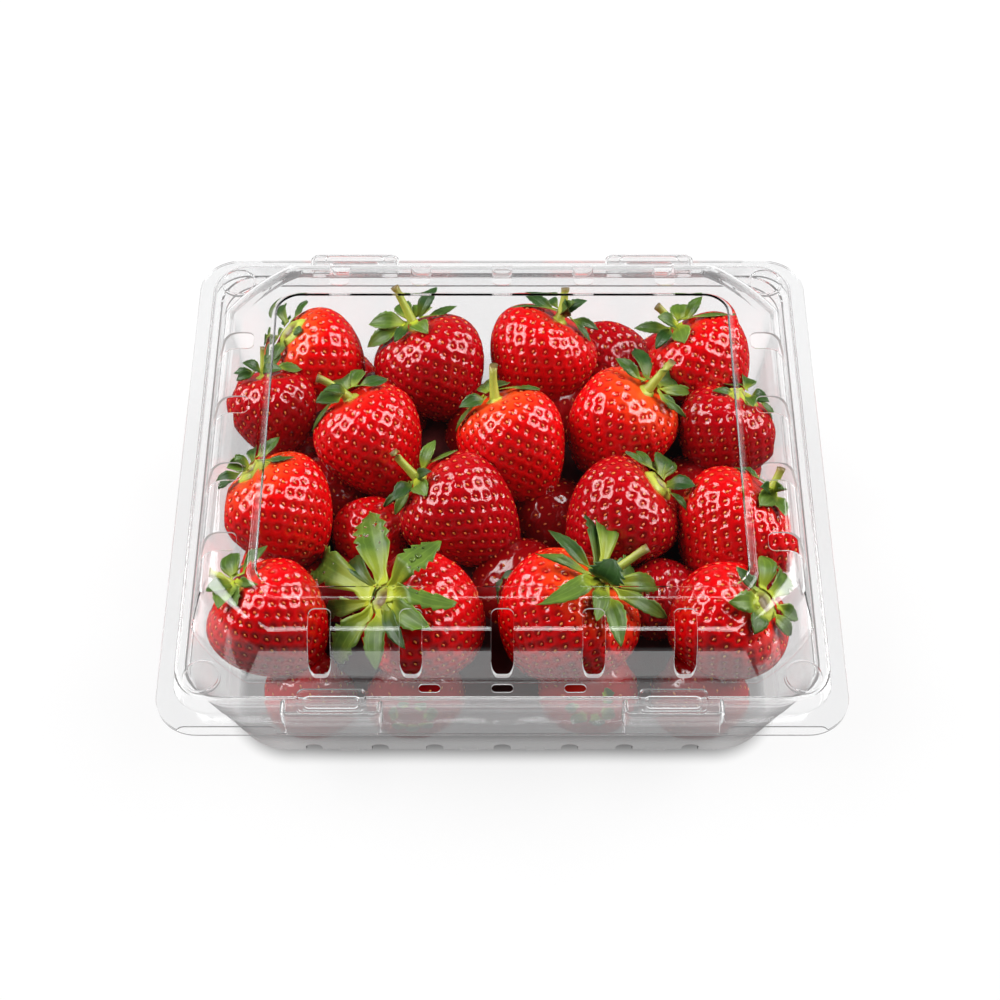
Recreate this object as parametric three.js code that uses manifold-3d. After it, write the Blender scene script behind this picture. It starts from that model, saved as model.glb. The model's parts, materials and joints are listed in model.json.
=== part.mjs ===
// A clear hinged punnet of strawberries, in millimetres, +Z up.
// The origin is the middle of the tub's base, on the surface it stands on. The front faces -Y.
import * as THREE from 'three';
import { mergeVertices } from 'three/addons/utils/BufferGeometryUtils.js';
import Module from 'manifold-3d';

const wasm = await Module();
wasm.setup();

// Driving sizes of the pack
const WALL = 0.7;
const FLANGE = { halfX: 120, halfY: 107.4, corner: 15 };
const TUB_HEIGHT = 52;
const LID_GAP = 0.4;
const CORNER_STEPS = 4;
const SLOT_STEPS = 2;
const SMALL_STEPS = 2;
const OVERCUT = 1;
const NEARLY_ROUND = 0.01;

// The tub: half sizes of its outside, from the collar inside the lid's rim down to the base
const TUB_RINGS = [
  { z: 56.6, halfX: 110.6, halfY: 96.1, corner: 14 },
  { z: TUB_HEIGHT, halfX: 109.8, halfY: 95.4, corner: 15 },
  { z: 3, halfX: 99.4, halfY: 87.2, corner: 21 },
  { z: 0, halfX: 96.6, halfY: 84.6, corner: 20 },
];
const BASE_PANEL = { halfX: 82, halfY: 70, corner: 16, rise: 1.6, slope: 2 };
const BASE_VENT = { width: 6.3, top: 9.5, inward: 5, outward: 4 };
const BASE_VENTS_ALONG_X = [-68.9, -44.7, -24.7, 0, 24.7, 44.7, 68.9];
const BASE_VENTS_ALONG_Y = [-50, -25, 0, 25, 50];
// Upright ribs between the notches, which stand proud of the wall's foot and run out higher up
const RIB = { width: 7.6, fromY: 85, toY: 89, bottom: 0.6, top: 18, alongX: [-56, -12, 12, 56] };

// The lid: heights above its flange's underside, flat is how far a corner is cut straight
const LID_Z = TUB_HEIGHT + LID_GAP;
const SHELF_TOP = 8.7;
const STEP_RINGS = [
  { z: 0, halfX: 114.6, halfY: 99.9, corner: 13, flat: 0 },
  { z: SHELF_TOP, halfX: 113.2, halfY: 98.5, corner: 13, flat: 0 },
];
const DOME_RINGS = [
  { z: SHELF_TOP - 1.5, halfX: 109.2, halfY: 92.8, corner: 21.4, flat: 0.7 },
  { z: SHELF_TOP, halfX: 108.8, halfY: 92.4, corner: 21.4, flat: 0.7 },
  { z: 22.2, halfX: 104.8, halfY: 86.4, corner: 23, flat: 0.75 },
  { z: 25.2, halfX: 102.4, halfY: 82.9, corner: 24, flat: 0.75 },
  { z: 26.2, halfX: 99.6, halfY: 80, corner: 24, flat: 0.7 },
  { z: 25.8, halfX: 87.9, halfY: 68.2, corner: 11, flat: 0 },
  { z: 28.7, halfX: 85.6, halfY: 66, corner: 9.5, flat: 0 },
];
const BUTTON = { x: 103.6, y: 89.4, radius: 5.9, depth: 1.2, sides: 14 };
const LATCH = { x: 58.5, width: 35, fromY: 96, toY: 105, top: 8.2, corner: 3 };
const LATCH_RECESS = {
  width: 22.5, fromY: 94.9, toY: 102.8, depth: 2.6, corner: 1.6, rimDepth: 1.2, rim: 1.9,
};
const FINGER_NOTCH = { fromX: 77.2, toX: 112, edgeY: 104.7, depth: 8, corner: 2.6 };
const SHELF_VENT = { width: 7.6, fromY: 92.6, toY: 95.8, bottom: 2, at: [-25, 0, 25] };
const SLOT = { width: 7.7, corner: 2.4, top: 40 };
const SLOTS_ALONG_X = { at: [-62.4, -31.2, 0, 31.2, 62.4], inner: 72.8, outer: 90.8 };
const SLOTS_ALONG_Y = { at: [-45.3, -15.1, 15.1, 45.3], inner: 93, outer: 107 };

// The berries of the top layer. z is the middle's height. width is across the shoulders and
// long is the length over it. azimuth and rise (degrees) point from the middle to the stalk.
const TOP_BERRIES = [
  { x: -69, y: 58, z: 51.5, width: 36, long: 1.05, azimuth: 165, rise: 43, leaves: 6 },
  { x: -26, y: 53, z: 49.5, width: 43.5, long: 1.0, azimuth: 126, rise: 50, leaves: 8 },
  { x: 14, y: 58, z: 50.5, width: 41, long: 1.0, azimuth: 47, rise: 47, leaves: 8 },
  { x: 42, y: 63, z: 39.5, width: 33.5, long: 1.0, azimuth: 90, rise: -20, leaves: 0 },
  { x: 78, y: 53, z: 51.5, width: 40.5, long: 1.0, azimuth: 136, rise: 43, leaves: 8 },
  { x: -87, y: 32, z: 49.5, width: 34, long: 1.05, azimuth: 110, rise: 52, leaves: 6 },
  { x: -48, y: 15, z: 52.5, width: 40.5, long: 1.14, azimuth: 127, rise: 48, leaves: 7 },
  { x: 6, y: 12, z: 53.5, width: 40, long: 1.2, azimuth: 126, rise: 46, leaves: 7 },
  { x: 43, y: 23, z: 52.5, width: 40.5, long: 1.15, azimuth: 24, rise: 55, leaves: 8 },
  { x: 84, y: 22, z: 48.5, width: 37.5, long: 1.0, azimuth: 55, rise: 49, leaves: 6 },
  { x: -80, y: -16, z: 51.5, width: 43.5, long: 1.02, azimuth: 137, rise: 44, leaves: 7 },
  { x: -48, y: -20, z: 41.5, width: 29.5, long: 1.0, azimuth: 106, rise: -20, leaves: 0 },
  { x: -13, y: -15, z: 48.5, width: 42.5, long: 1.16, azimuth: 156, rise: 34, leaves: 7 },
  { x: 42, y: -17, z: 49.5, width: 45, long: 1.0, azimuth: 27, rise: 35, leaves: 8 },
  { x: 84, y: -24, z: 49.5, width: 46, long: 1.0, azimuth: 35, rise: 41, leaves: 7 },
  { x: -81, y: -61, z: 48.5, width: 42, long: 1.05, azimuth: 150, rise: 42, leaves: 8 },
  { x: -26, y: -59, z: 47.5, width: 46.5, long: 1.0, azimuth: -178, rise: 44, leaves: 10 },
  { x: 21, y: -60, z: 47.5, width: 49, long: 1.02, azimuth: 22, rise: 53, leaves: 9 },
  { x: 57, y: -47, z: 38.5, width: 31.5, long: 1.0, azimuth: 73, rise: -20, leaves: 0 },
  { x: 78, y: -61, z: 47.5, width: 43.5, long: 1.0, azimuth: -2, rise: 49, leaves: 8 },
];

// The layer below, which shows through the tub's walls: berries in a ring along them, inset so far
const LOWER = {
  z: 22.5, insetX: 21.5, insetY: 20.5, alongX: [-70, -31, 31, 70], alongY: [-22, 22], width: 38, long: 1.1,
};
const CORE = { halfX: 76, halfY: 58, bottom: 4, top: 50, corner: 20 };
const BERRY_SIDES = 9;
const LOWER_SIDES = 8;
const LOWER_STEPS = 5;
const BERRY_STEPS = 6;
const WIDEST_AT = 0.36;
const LEAF = {
  length: 0.46, width: 0.2, widest: 0.55, valley: 0.3, fold: 0.3, thick: 1.0, lift: 0.35, droop: 0.45,
  sunk: 0.01,
};
const STALK = { radius: 1.1, length: 9, sides: 5 };
const BERRY_CLEARANCE = 0.9;
const BERRY_TOP = 74.4;
const HEAP_SEED = 4711;

// A fixed sequence of numbers from 0 to 1, so that every build is the same
function makeDraw(seed) {
  let state = seed;
  return () => {
    state = (state * 16807) % 2147483647;
    return state / 2147483647;
  };
}

// Points of a rectangle with rounded corners, seen from above and anticlockwise.
// flat mixes each round corner with a straight cut.
function ringPoints({ halfX, halfY, corner, flat = 0 }, steps = CORNER_STEPS) {
  const points = [];
  const quarters = [[1, 1], [-1, 1], [-1, -1], [1, -1]];
  quarters.forEach(([sx, sy], quarter) => {
    for (let step = 0; step <= steps; step += 1) {
      const share = step / steps;
      const angle = (quarter + share) * Math.PI / 2;
      const start = quarter * Math.PI / 2;
      const end = start + Math.PI / 2;
      const cutX = Math.cos(start) * (1 - share) + Math.cos(end) * share;
      const cutY = Math.sin(start) * (1 - share) + Math.sin(end) * share;
      const x = THREE.MathUtils.lerp(Math.cos(angle), cutX, flat);
      const y = THREE.MathUtils.lerp(Math.sin(angle), cutY, flat);
      points.push([sx * (halfX - corner) + x * corner, sy * (halfY - corner) + y * corner]);
    }
  });
  return points;
}

function manifoldOf(positions, triangles) {
  return new wasm.Manifold(new wasm.Mesh({
    numProp: 3,
    vertProperties: new Float32Array(positions),
    triVerts: new Uint32Array(triangles),
  }));
}

// A closed solid through rings of equal point counts, given from the bottom up
function loft(rings) {
  const positions = [];
  const triangles = [];
  const count = rings[0].points.length;
  rings.forEach(({ points, z }) => points.forEach(([x, y]) => positions.push(x, y, z)));
  for (let level = 0; level + 1 < rings.length; level += 1) {
    for (let i = 0; i < count; i += 1) {
      const a = level * count + i;
      const b = level * count + (i + 1) % count;
      triangles.push(a, b, b + count, a, b + count, a + count);
    }
  }
  const bottom = positions.length / 3;
  const top = bottom + 1;
  positions.push(0, 0, rings[0].z, 0, 0, rings.at(-1).z);
  const last = (rings.length - 1) * count;
  for (let i = 0; i < count; i += 1) {
    const next = (i + 1) % count;
    triangles.push(bottom, next, i, top, last + i, last + next);
  }
  return manifoldOf(positions, triangles);
}

// A loft through named sizes, each grown by grow on its sides and moved by lift
function sizedLoft(sizes, lift = 0, grow = 0, steps = CORNER_STEPS) {
  return loft(sizes.map((size) => ({
    z: size.z + lift,
    points: ringPoints({
      ...size,
      halfX: size.halfX + grow,
      halfY: size.halfY + grow,
      corner: Math.max(size.corner + grow, 0.4),
    }, steps),
  })));
}

// An upright block with rounded corners, between two heights
function block(x, y, width, depth, corner, bottom, top, steps = SMALL_STEPS) {
  const points = ringPoints({ halfX: width / 2, halfY: depth / 2, corner }, steps);
  return loft([{ points, z: bottom }, { points, z: top }]).translate([x, y, 0]);
}

function mergeAll(solids) {
  return wasm.Manifold.union(solids);
}

function meshNamed(name, solid, look) {
  const { vertProperties, triVerts } = solid.getMesh();
  const geometry = new THREE.BufferGeometry();
  geometry.setAttribute('position', new THREE.BufferAttribute(new Float32Array(vertProperties), 3));
  geometry.setIndex(new THREE.BufferAttribute(new Uint32Array(triVerts), 1));
  const mesh = new THREE.Mesh(mergeVertices(geometry, 1e-4), new THREE.MeshStandardMaterial(look));
  mesh.name = name;
  return mesh;
}

// Notches along the tub's lower edge that let air in and water out
function baseVents() {
  const { width, top, inward, outward } = BASE_VENT;
  const edge = TUB_RINGS[2];
  const depth = inward + outward;
  const cuts = [];
  for (const side of [-1, 1]) {
    const y = side * (edge.halfY + (outward - inward) / 2);
    for (const x of BASE_VENTS_ALONG_X) {
      cuts.push(archCut(width, top, depth).translate([x, y, 0]));
    }
    const x = side * (edge.halfX + (outward - inward) / 2);
    for (const along of BASE_VENTS_ALONG_Y) {
      cuts.push(archCut(width, top, depth).rotate([0, 0, 90]).translate([x, along, 0]));
    }
  }
  return mergeAll(cuts);
}

// A prism along Y with a round top, to cut one notch
function archCut(width, top, depth) {
  const shape = new THREE.Shape();
  shape.moveTo(-width / 2, -OVERCUT);
  shape.lineTo(width / 2, -OVERCUT);
  shape.lineTo(width / 2, top - width / 2);
  shape.absarc(0, top - width / 2, width / 2, 0, Math.PI, false);
  const geometry = new THREE.ExtrudeGeometry(shape, { depth, bevelEnabled: false, curveSegments: 4 });
  geometry.rotateX(Math.PI / 2);
  geometry.translate(0, depth / 2, 0);
  return solidOf(geometry);
}

function solidOf(geometry) {
  geometry.deleteAttribute('normal');
  geometry.deleteAttribute('uv');
  const merged = mergeVertices(geometry, 1e-4);
  return manifoldOf(merged.attributes.position.array, merged.index.array);
}

function buildTub() {
  const upward = [...TUB_RINGS].reverse();
  const outside = sizedLoft(upward);
  const plate = sizedLoft([
    { ...FLANGE, z: TUB_HEIGHT - WALL },
    { ...FLANGE, z: TUB_HEIGHT },
  ]);
  const inner = upward.map((size) => ({ ...size }));
  inner[0].z = WALL;
  inner.at(-1).z += OVERCUT;
  const inside = sizedLoft(inner, 0, -WALL);
  const { rise, slope, ...panel } = BASE_PANEL;
  const footprint = [
    { ...panel, halfX: panel.halfX + slope, halfY: panel.halfY + slope, z: -OVERCUT },
    { ...panel, z: rise },
  ];
  const raised = sizedLoft(footprint);
  const raisedInside = sizedLoft(footprint, WALL, WALL);
  return mergeAll([outside, plate, ...footRibs()])
    .subtract(inside.subtract(raisedInside))
    .subtract(raised)
    .subtract(baseVents());
}

function footRibs() {
  const { width, fromY, toY, bottom, top, alongX } = RIB;
  return [-1, 1].flatMap((side) => alongX.map((x) => (
    wasm.Manifold.cube([width, toY - fromY, top - bottom], true)
      .translate([x, side * (fromY + toY) / 2, (top + bottom) / 2])
  )));
}

// Long cuts with rounded corners over the lid's ridge, all round
function ridgeSlots() {
  const { width, corner, top } = SLOT;
  const bottom = SHELF_TOP + OVERCUT;
  const cuts = [];
  for (const side of [-1, 1]) {
    const { at: alongX, inner, outer } = SLOTS_ALONG_X;
    for (const x of alongX) {
      const y = side * (inner + outer) / 2;
      cuts.push(block(x, y, width, outer - inner, corner, bottom, top, SLOT_STEPS));
    }
    for (const y of SLOTS_ALONG_Y.at) {
      const x = side * (SLOTS_ALONG_Y.inner + SLOTS_ALONG_Y.outer) / 2;
      const length = SLOTS_ALONG_Y.outer - SLOTS_ALONG_Y.inner;
      cuts.push(block(x, y, length, width, corner, bottom, top, SLOT_STEPS));
    }
  }
  return mergeAll(cuts);
}

function shelfVents() {
  const { width, fromY, toY, bottom, at } = SHELF_VENT;
  const depth = toY - fromY;
  const y = (fromY + toY) / 2;
  const corner = depth / 2 - NEARLY_ROUND;
  return mergeAll([-1, 1].flatMap((side) => at.map((x) => (
    block(x, side * y, width, depth, corner, bottom, SHELF_TOP + OVERCUT)
  ))));
}

// The four latch bosses, each an upright block, grown by grow and with its top at top
function latchBlocks(grow, bottom, top) {
  const { x, width, fromY, toY, corner } = LATCH;
  const depth = toY - fromY + grow;
  const solids = [];
  for (const sideX of [-1, 1]) {
    for (const sideY of [-1, 1]) {
      const y = sideY * (fromY + depth / 2);
      solids.push(block(sideX * x, y, width + 2 * grow, depth, corner + grow, bottom, top));
    }
  }
  return solids;
}

// The stepped dishes sunk in the latch bosses and the round ones at the corners
function lidDishes(grow) {
  const { width, fromY, toY, depth, corner, rimDepth, rim } = LATCH_RECESS;
  const { x, y, radius, depth: sunk, sides } = BUTTON;
  const tall = SHELF_TOP + OVERCUT;
  const solids = [];
  for (const sideX of [-1, 1]) {
    for (const sideY of [-1, 1]) {
      const middle = sideY * (fromY + toY) / 2;
      for (const [sunken, inset] of [[rimDepth, 0], [depth, rim]]) {
        const across = width + 2 * (grow - inset);
        const along = toY - fromY + 2 * (grow - inset);
        const floor = LATCH.top - sunken - grow;
        solids.push(block(sideX * LATCH.x, middle, across, along, corner + grow, floor, tall));
      }
      const bottom = SHELF_TOP - sunk - grow;
      const round = new THREE.CylinderGeometry(radius + grow, radius + grow, tall - bottom, sides);
      round.rotateX(Math.PI / 2);
      round.translate(sideX * x, sideY * y, (tall + bottom) / 2);
      solids.push(solidOf(round));
    }
  }
  return mergeAll(solids);
}

function fingerNotches() {
  const { fromX, toX, edgeY, depth, corner } = FINGER_NOTCH;
  const y = -edgeY - depth / 2;
  return mergeAll([-1, 1].map((side) => (
    block(side * (fromX + toX) / 2, y, toX - fromX, depth, corner, -OVERCUT, WALL + OVERCUT)
  )));
}

function buildLid() {
  const plate = sizedLoft([{ ...FLANGE, z: 0 }, { ...FLANGE, z: WALL }]);
  const outside = mergeAll([
    plate.subtract(fingerNotches()),
    sizedLoft(STEP_RINGS),
    sizedLoft(DOME_RINGS),
    ...latchBlocks(0, 0, LATCH.top),
  ]).subtract(lidDishes(0));
  const stepInside = STEP_RINGS.map((size) => ({ ...size }));
  stepInside[0].z = -OVERCUT;
  stepInside[1].z -= WALL;
  const domeInside = DOME_RINGS.map((size) => ({ ...size, z: size.z - WALL }));
  const inside = mergeAll([
    sizedLoft(stepInside, 0, -WALL),
    sizedLoft(domeInside, 0, -WALL),
    ...latchBlocks(-WALL, -OVERCUT, LATCH.top - WALL),
  ]).subtract(lidDishes(WALL));
  return outside.subtract(inside)
    .subtract(ridgeSlots())
    .subtract(shelfVents())
    .translate([0, 0, LID_Z]);
}

// How wide a berry is at a share of its length from the stalk end: 0 at both ends, 1 at the widest
function berryRadius(share) {
  if (share < WIDEST_AT) {
    return (1 - (1 - share / WIDEST_AT) ** 2.4) ** 0.5;
  }
  return (1 - ((share - WIDEST_AT) / (1 - WIDEST_AT)) ** 1.9) ** 0.72;
}

// A few-sided berry round +Z with its middle at the origin, the stalk end up and the tip down
function berryBody(width, length, draw, sides = BERRY_SIDES, steps = BERRY_STEPS) {
  const profile = [];
  for (let step = 1; step < steps; step += 1) {
    const share = (1 - Math.cos(Math.PI * step / steps)) / 2;
    profile.push({ z: length / 2 - share * length, radius: berryRadius(share) * width / 2 });
  }
  const phase = draw() * Math.PI * 2;
  const squash = 0.04 + draw() * 0.05;
  const rings = profile.reverse().map(({ z, radius }) => ({
    z,
    points: Array.from({ length: sides }, (_, i) => {
      const angle = i / sides * Math.PI * 2;
      const reach = radius * (1 + squash * Math.cos(2 * angle + phase));
      return [Math.cos(angle) * reach, Math.sin(angle) * reach];
    }),
  }));
  return loft(rings);
}

// The green crown of a berry, round +Z at the height of its root: one thin star, whose leaves rise
// and bend down again, each folded along its middle. Both faces are split into the same triangles.
function crownSolid(width, leaves, draw) {
  const reach = width * LEAF.length;
  const half = width * LEAF.width / 2;
  const positions = [0, 0, -LEAF.thick];
  const upper = [];
  const rim = [];
  const turns = Array.from({ length: leaves }, (_, i) => (i + (draw() - 0.5) * 0.3) / leaves);
  const sizes = turns.map(() => 0.85 + draw() * 0.3);
  const lifts = turns.map(() => LEAF.lift + (draw() - 0.5) * 0.5);
  const height = (share, lift) => (lift * share - LEAF.droop * share * share) * reach;
  for (let i = 0; i < leaves; i += 1) {
    const next = (i + 1) % leaves;
    const first = 1 + i * 5;
    const angle = turns[i] * Math.PI * 2;
    const gap = (turns[i] + (i + 1 < leaves ? turns[next] : turns[next] + 1)) * Math.PI;
    const [cos, sin] = [Math.cos(angle), Math.sin(angle)];
    const out = (share, across, rise) => {
      const along = share * reach * sizes[i];
      const z = height(share, lifts[i]) + rise;
      positions.push(cos * along - sin * across, sin * along + cos * across, z);
    };
    out(LEAF.widest, -half, half * LEAF.fold);
    out(LEAF.widest, 0, 0);
    out(LEAF.widest, half, half * LEAF.fold);
    out(1, 0, 0);
    const valley = LEAF.valley * reach;
    positions.push(Math.cos(gap) * valley, Math.sin(gap) * valley, 0);
    const [right, ridge, left, tip, after] = [first, first + 1, first + 2, first + 3, first + 4];
    const before = 5 + ((i + leaves - 1) % leaves) * 5;
    upper.push([0, before, ridge], [0, ridge, after], [before, right, ridge]);
    upper.push([ridge, left, after], [right, tip, ridge], [ridge, tip, left]);
    rim.push(right, tip, left, after);
  }
  const count = positions.length / 3;
  for (let i = 0; i < count; i += 1) {
    positions.push(positions[i * 3], positions[i * 3 + 1], positions[i * 3 + 2] + LEAF.thick);
  }
  const triangles = [];
  for (const [a, b, c] of upper) {
    triangles.push(a + count, b + count, c + count, a, c, b);
  }
  rim.forEach((a, i) => {
    const b = rim[(i + 1) % rim.length];
    triangles.push(a, b, b + count, a, b + count, a + count);
  });
  return manifoldOf(positions, triangles);
}

// The green crown and the stump of stalk, round +Z, on a berry of this width and length
function crown(width, length, leaves, draw) {
  const top = length * (0.5 - LEAF.sunk);
  const stalk = new THREE.CylinderGeometry(STALK.radius * 0.8, STALK.radius, STALK.length, STALK.sides);
  stalk.rotateX(Math.PI / 2);
  stalk.translate(0, 0, top + STALK.length / 2 - STALK.radius * 2);
  return [crownSolid(width, leaves, draw).translate([0, 0, top]), solidOf(stalk)];
}

// Turns a piece made round +Z so that +Z points along azimuth and rise, and moves it into place
function place(solid, { x, y, z, azimuth, rise }) {
  return solid.rotate([0, 90 - rise, 0]).rotate([0, 0, azimuth]).translate([x, y, z]);
}

function lowerBerries() {
  const base = TUB_RINGS[1];
  const foot = TUB_RINGS[2];
  const share = LOWER.z / TUB_HEIGHT;
  const farX = THREE.MathUtils.lerp(foot.halfX, base.halfX, share) - LOWER.insetX;
  const farY = THREE.MathUtils.lerp(foot.halfY, base.halfY, share) - LOWER.insetY;
  const spots = [];
  for (const side of [-1, 1]) {
    LOWER.alongX.forEach((x) => spots.push({ x, y: side * farY }));
    LOWER.alongY.forEach((y) => spots.push({ x: side * farX, y }));
  }
  return spots;
}

function buildBerries() {
  const draw = makeDraw(HEAP_SEED);
  const pieces = [sizedLoft([
    { ...CORE, z: CORE.bottom },
    { ...CORE, z: CORE.top },
  ], 0, 0, 3)];
  for (const berry of TOP_BERRIES) {
    const length = berry.width * berry.long;
    pieces.push(place(berryBody(berry.width, length, draw), berry));
    if (berry.leaves > 0) {
      for (const piece of crown(berry.width, length, berry.leaves, draw)) {
        pieces.push(place(piece, berry));
      }
    }
  }
  for (const { x, y } of lowerBerries()) {
    const width = LOWER.width * (0.93 + draw() * 0.1);
    const spot = { x, y, z: LOWER.z, azimuth: draw() * 360, rise: (draw() - 0.5) * 50 };
    const body = berryBody(width, width * LOWER.long, draw, LOWER_SIDES, LOWER_STEPS);
    pieces.push(place(body, spot));
  }
  return outerBody(mergeAll(pieces).intersect(room()));
}

// The one body with the most volume: sealed hollows are filled and loose scraps dropped
function outerBody(solid) {
  const bodies = solid.decompose();
  return bodies.reduce((most, body) => (body.volume() > most.volume() ? body : most));
}

// The room inside the shut pack, a little clear of its walls
function room() {
  const upward = [...TUB_RINGS].reverse().map((size) => ({ ...size }));
  upward[0].z = WALL + BASE_PANEL.rise;
  const inTub = sizedLoft(upward, 0.6, -WALL - BERRY_CLEARANCE);
  const cap = DOME_RINGS.slice(0, 3).map((size) => ({ ...size, z: size.z + LID_Z }));
  cap[0].z -= 8;
  cap[2].z = BERRY_TOP;
  const inLid = sizedLoft(cap, 0, -WALL - BERRY_CLEARANCE);
  return mergeAll([inTub, inLid]);
}

const clearPlastic = { color: 0xdfe6e6, roughness: 0.08, metalness: 0, transparent: true, opacity: 0.4 };
const punnet = new THREE.Group();
punnet.add(meshNamed('tub', buildTub(), { ...clearPlastic }));
punnet.add(meshNamed('lid', buildLid(), { ...clearPlastic, color: 0xeaf0f0 }));
punnet.add(meshNamed('berries', buildBerries(), { color: 0xb3121a, roughness: 0.35, metalness: 0 }));

export default punnet;
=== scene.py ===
"""A clear hinged punnet of strawberries. Lengths are in millimetres until a mesh is made, in metres."""
import json
import math

import bmesh
import bpy
import numpy as np
from mathutils import Matrix, Vector

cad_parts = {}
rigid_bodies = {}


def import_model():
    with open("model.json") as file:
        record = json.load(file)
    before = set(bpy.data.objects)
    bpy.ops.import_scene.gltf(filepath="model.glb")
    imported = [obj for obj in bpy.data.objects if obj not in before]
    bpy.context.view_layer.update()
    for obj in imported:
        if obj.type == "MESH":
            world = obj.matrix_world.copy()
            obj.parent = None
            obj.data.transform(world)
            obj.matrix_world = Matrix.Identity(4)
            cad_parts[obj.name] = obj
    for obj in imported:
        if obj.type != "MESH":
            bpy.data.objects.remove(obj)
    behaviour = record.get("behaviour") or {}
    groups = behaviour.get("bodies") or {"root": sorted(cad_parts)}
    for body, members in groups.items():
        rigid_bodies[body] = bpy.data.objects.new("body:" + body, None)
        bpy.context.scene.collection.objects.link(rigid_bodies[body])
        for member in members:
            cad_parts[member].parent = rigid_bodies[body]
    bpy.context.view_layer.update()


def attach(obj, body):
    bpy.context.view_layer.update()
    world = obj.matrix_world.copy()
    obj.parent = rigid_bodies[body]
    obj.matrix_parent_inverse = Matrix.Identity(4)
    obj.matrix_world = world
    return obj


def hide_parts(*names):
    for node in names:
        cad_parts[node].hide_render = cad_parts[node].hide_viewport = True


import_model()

MM = 0.001

# The camera, found from the pack's edges in the photograph, which is 1000 by 1000 pixels
VIEW_PITCH = math.radians(55)
FOCAL_PIXELS = 2053.2
SENSOR = 36
PHOTO_SIDE = 1000
CAMERA_PLACE = (-0.8, -444.9, 674.2)

# Driving sizes of the pack, as the solids have them, but for the ribs, which start higher here and
# stand out less
WALL = 0.7
TUB_HEIGHT = 52
LID_Z = TUB_HEIGHT + 0.4
FLANGE = dict(half_x=120, half_y=107.4, corner=15, flat=0)
TUB_RINGS = [
    dict(z=56.6, half_x=110.6, half_y=96.1, corner=14, flat=0),
    dict(z=TUB_HEIGHT, half_x=109.8, half_y=95.4, corner=15, flat=0),
    dict(z=3, half_x=99.4, half_y=87.2, corner=21, flat=0),
    dict(z=0, half_x=96.6, half_y=84.6, corner=20, flat=0),
]
BASE_PANEL = dict(half_x=82, half_y=70, corner=16, flat=0)
BASE_RISE, BASE_SLOPE = 1.6, 2
BASE_VENT = dict(width=6.3, top=9.5, inward=5, outward=4)
BASE_VENTS_ALONG_X = (-68.9, -44.7, -24.7, 0, 24.7, 44.7, 68.9)
BASE_VENTS_ALONG_Y = (-50, -25, 0, 25, 50)
RIB = dict(
    width=7.6, from_y=85, to_y=88.1, bottom=4.5, top=18, corner=0.9, rounded=0.8, along_x=(-56, -12, 12, 56))
SHELF_TOP = 8.7
STEP_RINGS = [
    dict(z=0, half_x=114.6, half_y=99.9, corner=13, flat=0),
    dict(z=SHELF_TOP, half_x=113.2, half_y=98.5, corner=13, flat=0),
]
DOME_RINGS = [
    dict(z=SHELF_TOP - 1.5, half_x=109.2, half_y=92.8, corner=21.4, flat=0.7),
    dict(z=SHELF_TOP, half_x=108.8, half_y=92.4, corner=21.4, flat=0.7),
    dict(z=22.2, half_x=104.8, half_y=86.4, corner=23, flat=0.75),
    dict(z=25.2, half_x=102.4, half_y=82.9, corner=24, flat=0.75),
    dict(z=26.2, half_x=99.6, half_y=80, corner=24, flat=0.7),
    dict(z=25.8, half_x=87.9, half_y=68.2, corner=11, flat=0),
    dict(z=28.7, half_x=85.6, half_y=66, corner=9.5, flat=0),
]
BUTTON = dict(x=103.6, y=89.4, radius=5.9, depth=1.2)
LATCH = dict(x=58.5, width=35, from_y=96, to_y=105, top=8.2, corner=3, rounded=1.5)
LATCH_RECESS = dict(width=22.5, from_y=94.9, to_y=102.8, depth=2.6, corner=1.6, rim_depth=1.2, rim=1.9)
FINGER_NOTCH = dict(from_x=77.2, to_x=112, edge_y=104.7, depth=8, corner=2.6)
SHELF_VENT = dict(width=7.6, from_y=92.6, to_y=95.8, at=(-25, 0, 25))
SLOT = dict(width=7.7, corner=2.4, top=40)
SLOTS_ALONG_X = dict(at=(-62.4, -31.2, 0, 31.2, 62.4), inner=72.8, outer=90.8)
SLOTS_ALONG_Y = dict(at=(-45.3, -15.1, 15.1, 45.3), inner=93, outer=107)
CORNER_STEPS = 14
FILLET = 1.4
EASED = 0.2
# Edges are sharp where the faces turn by more than the first angle, and eased from the second
SHARP_ANGLE, EASED_ANGLE = math.radians(32), math.radians(40)
# The room inside the shut pack, a little clear of its walls: half sizes at heights, and how far from
# the corner of that rectangle a cut across it begins
ROOM = dict(
    floor=1.5, top=78.6, corner=22, cut=24,
    heights=(0, TUB_HEIGHT, LID_Z + SHELF_TOP, LID_Z + 22.2, LID_Z + 25.2, LID_Z + 28),
    half_x=(97, 108, 106, 102, 99, 84),
    half_y=(85, 93.5, 89.5, 83.5, 80, 64),
)

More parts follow.
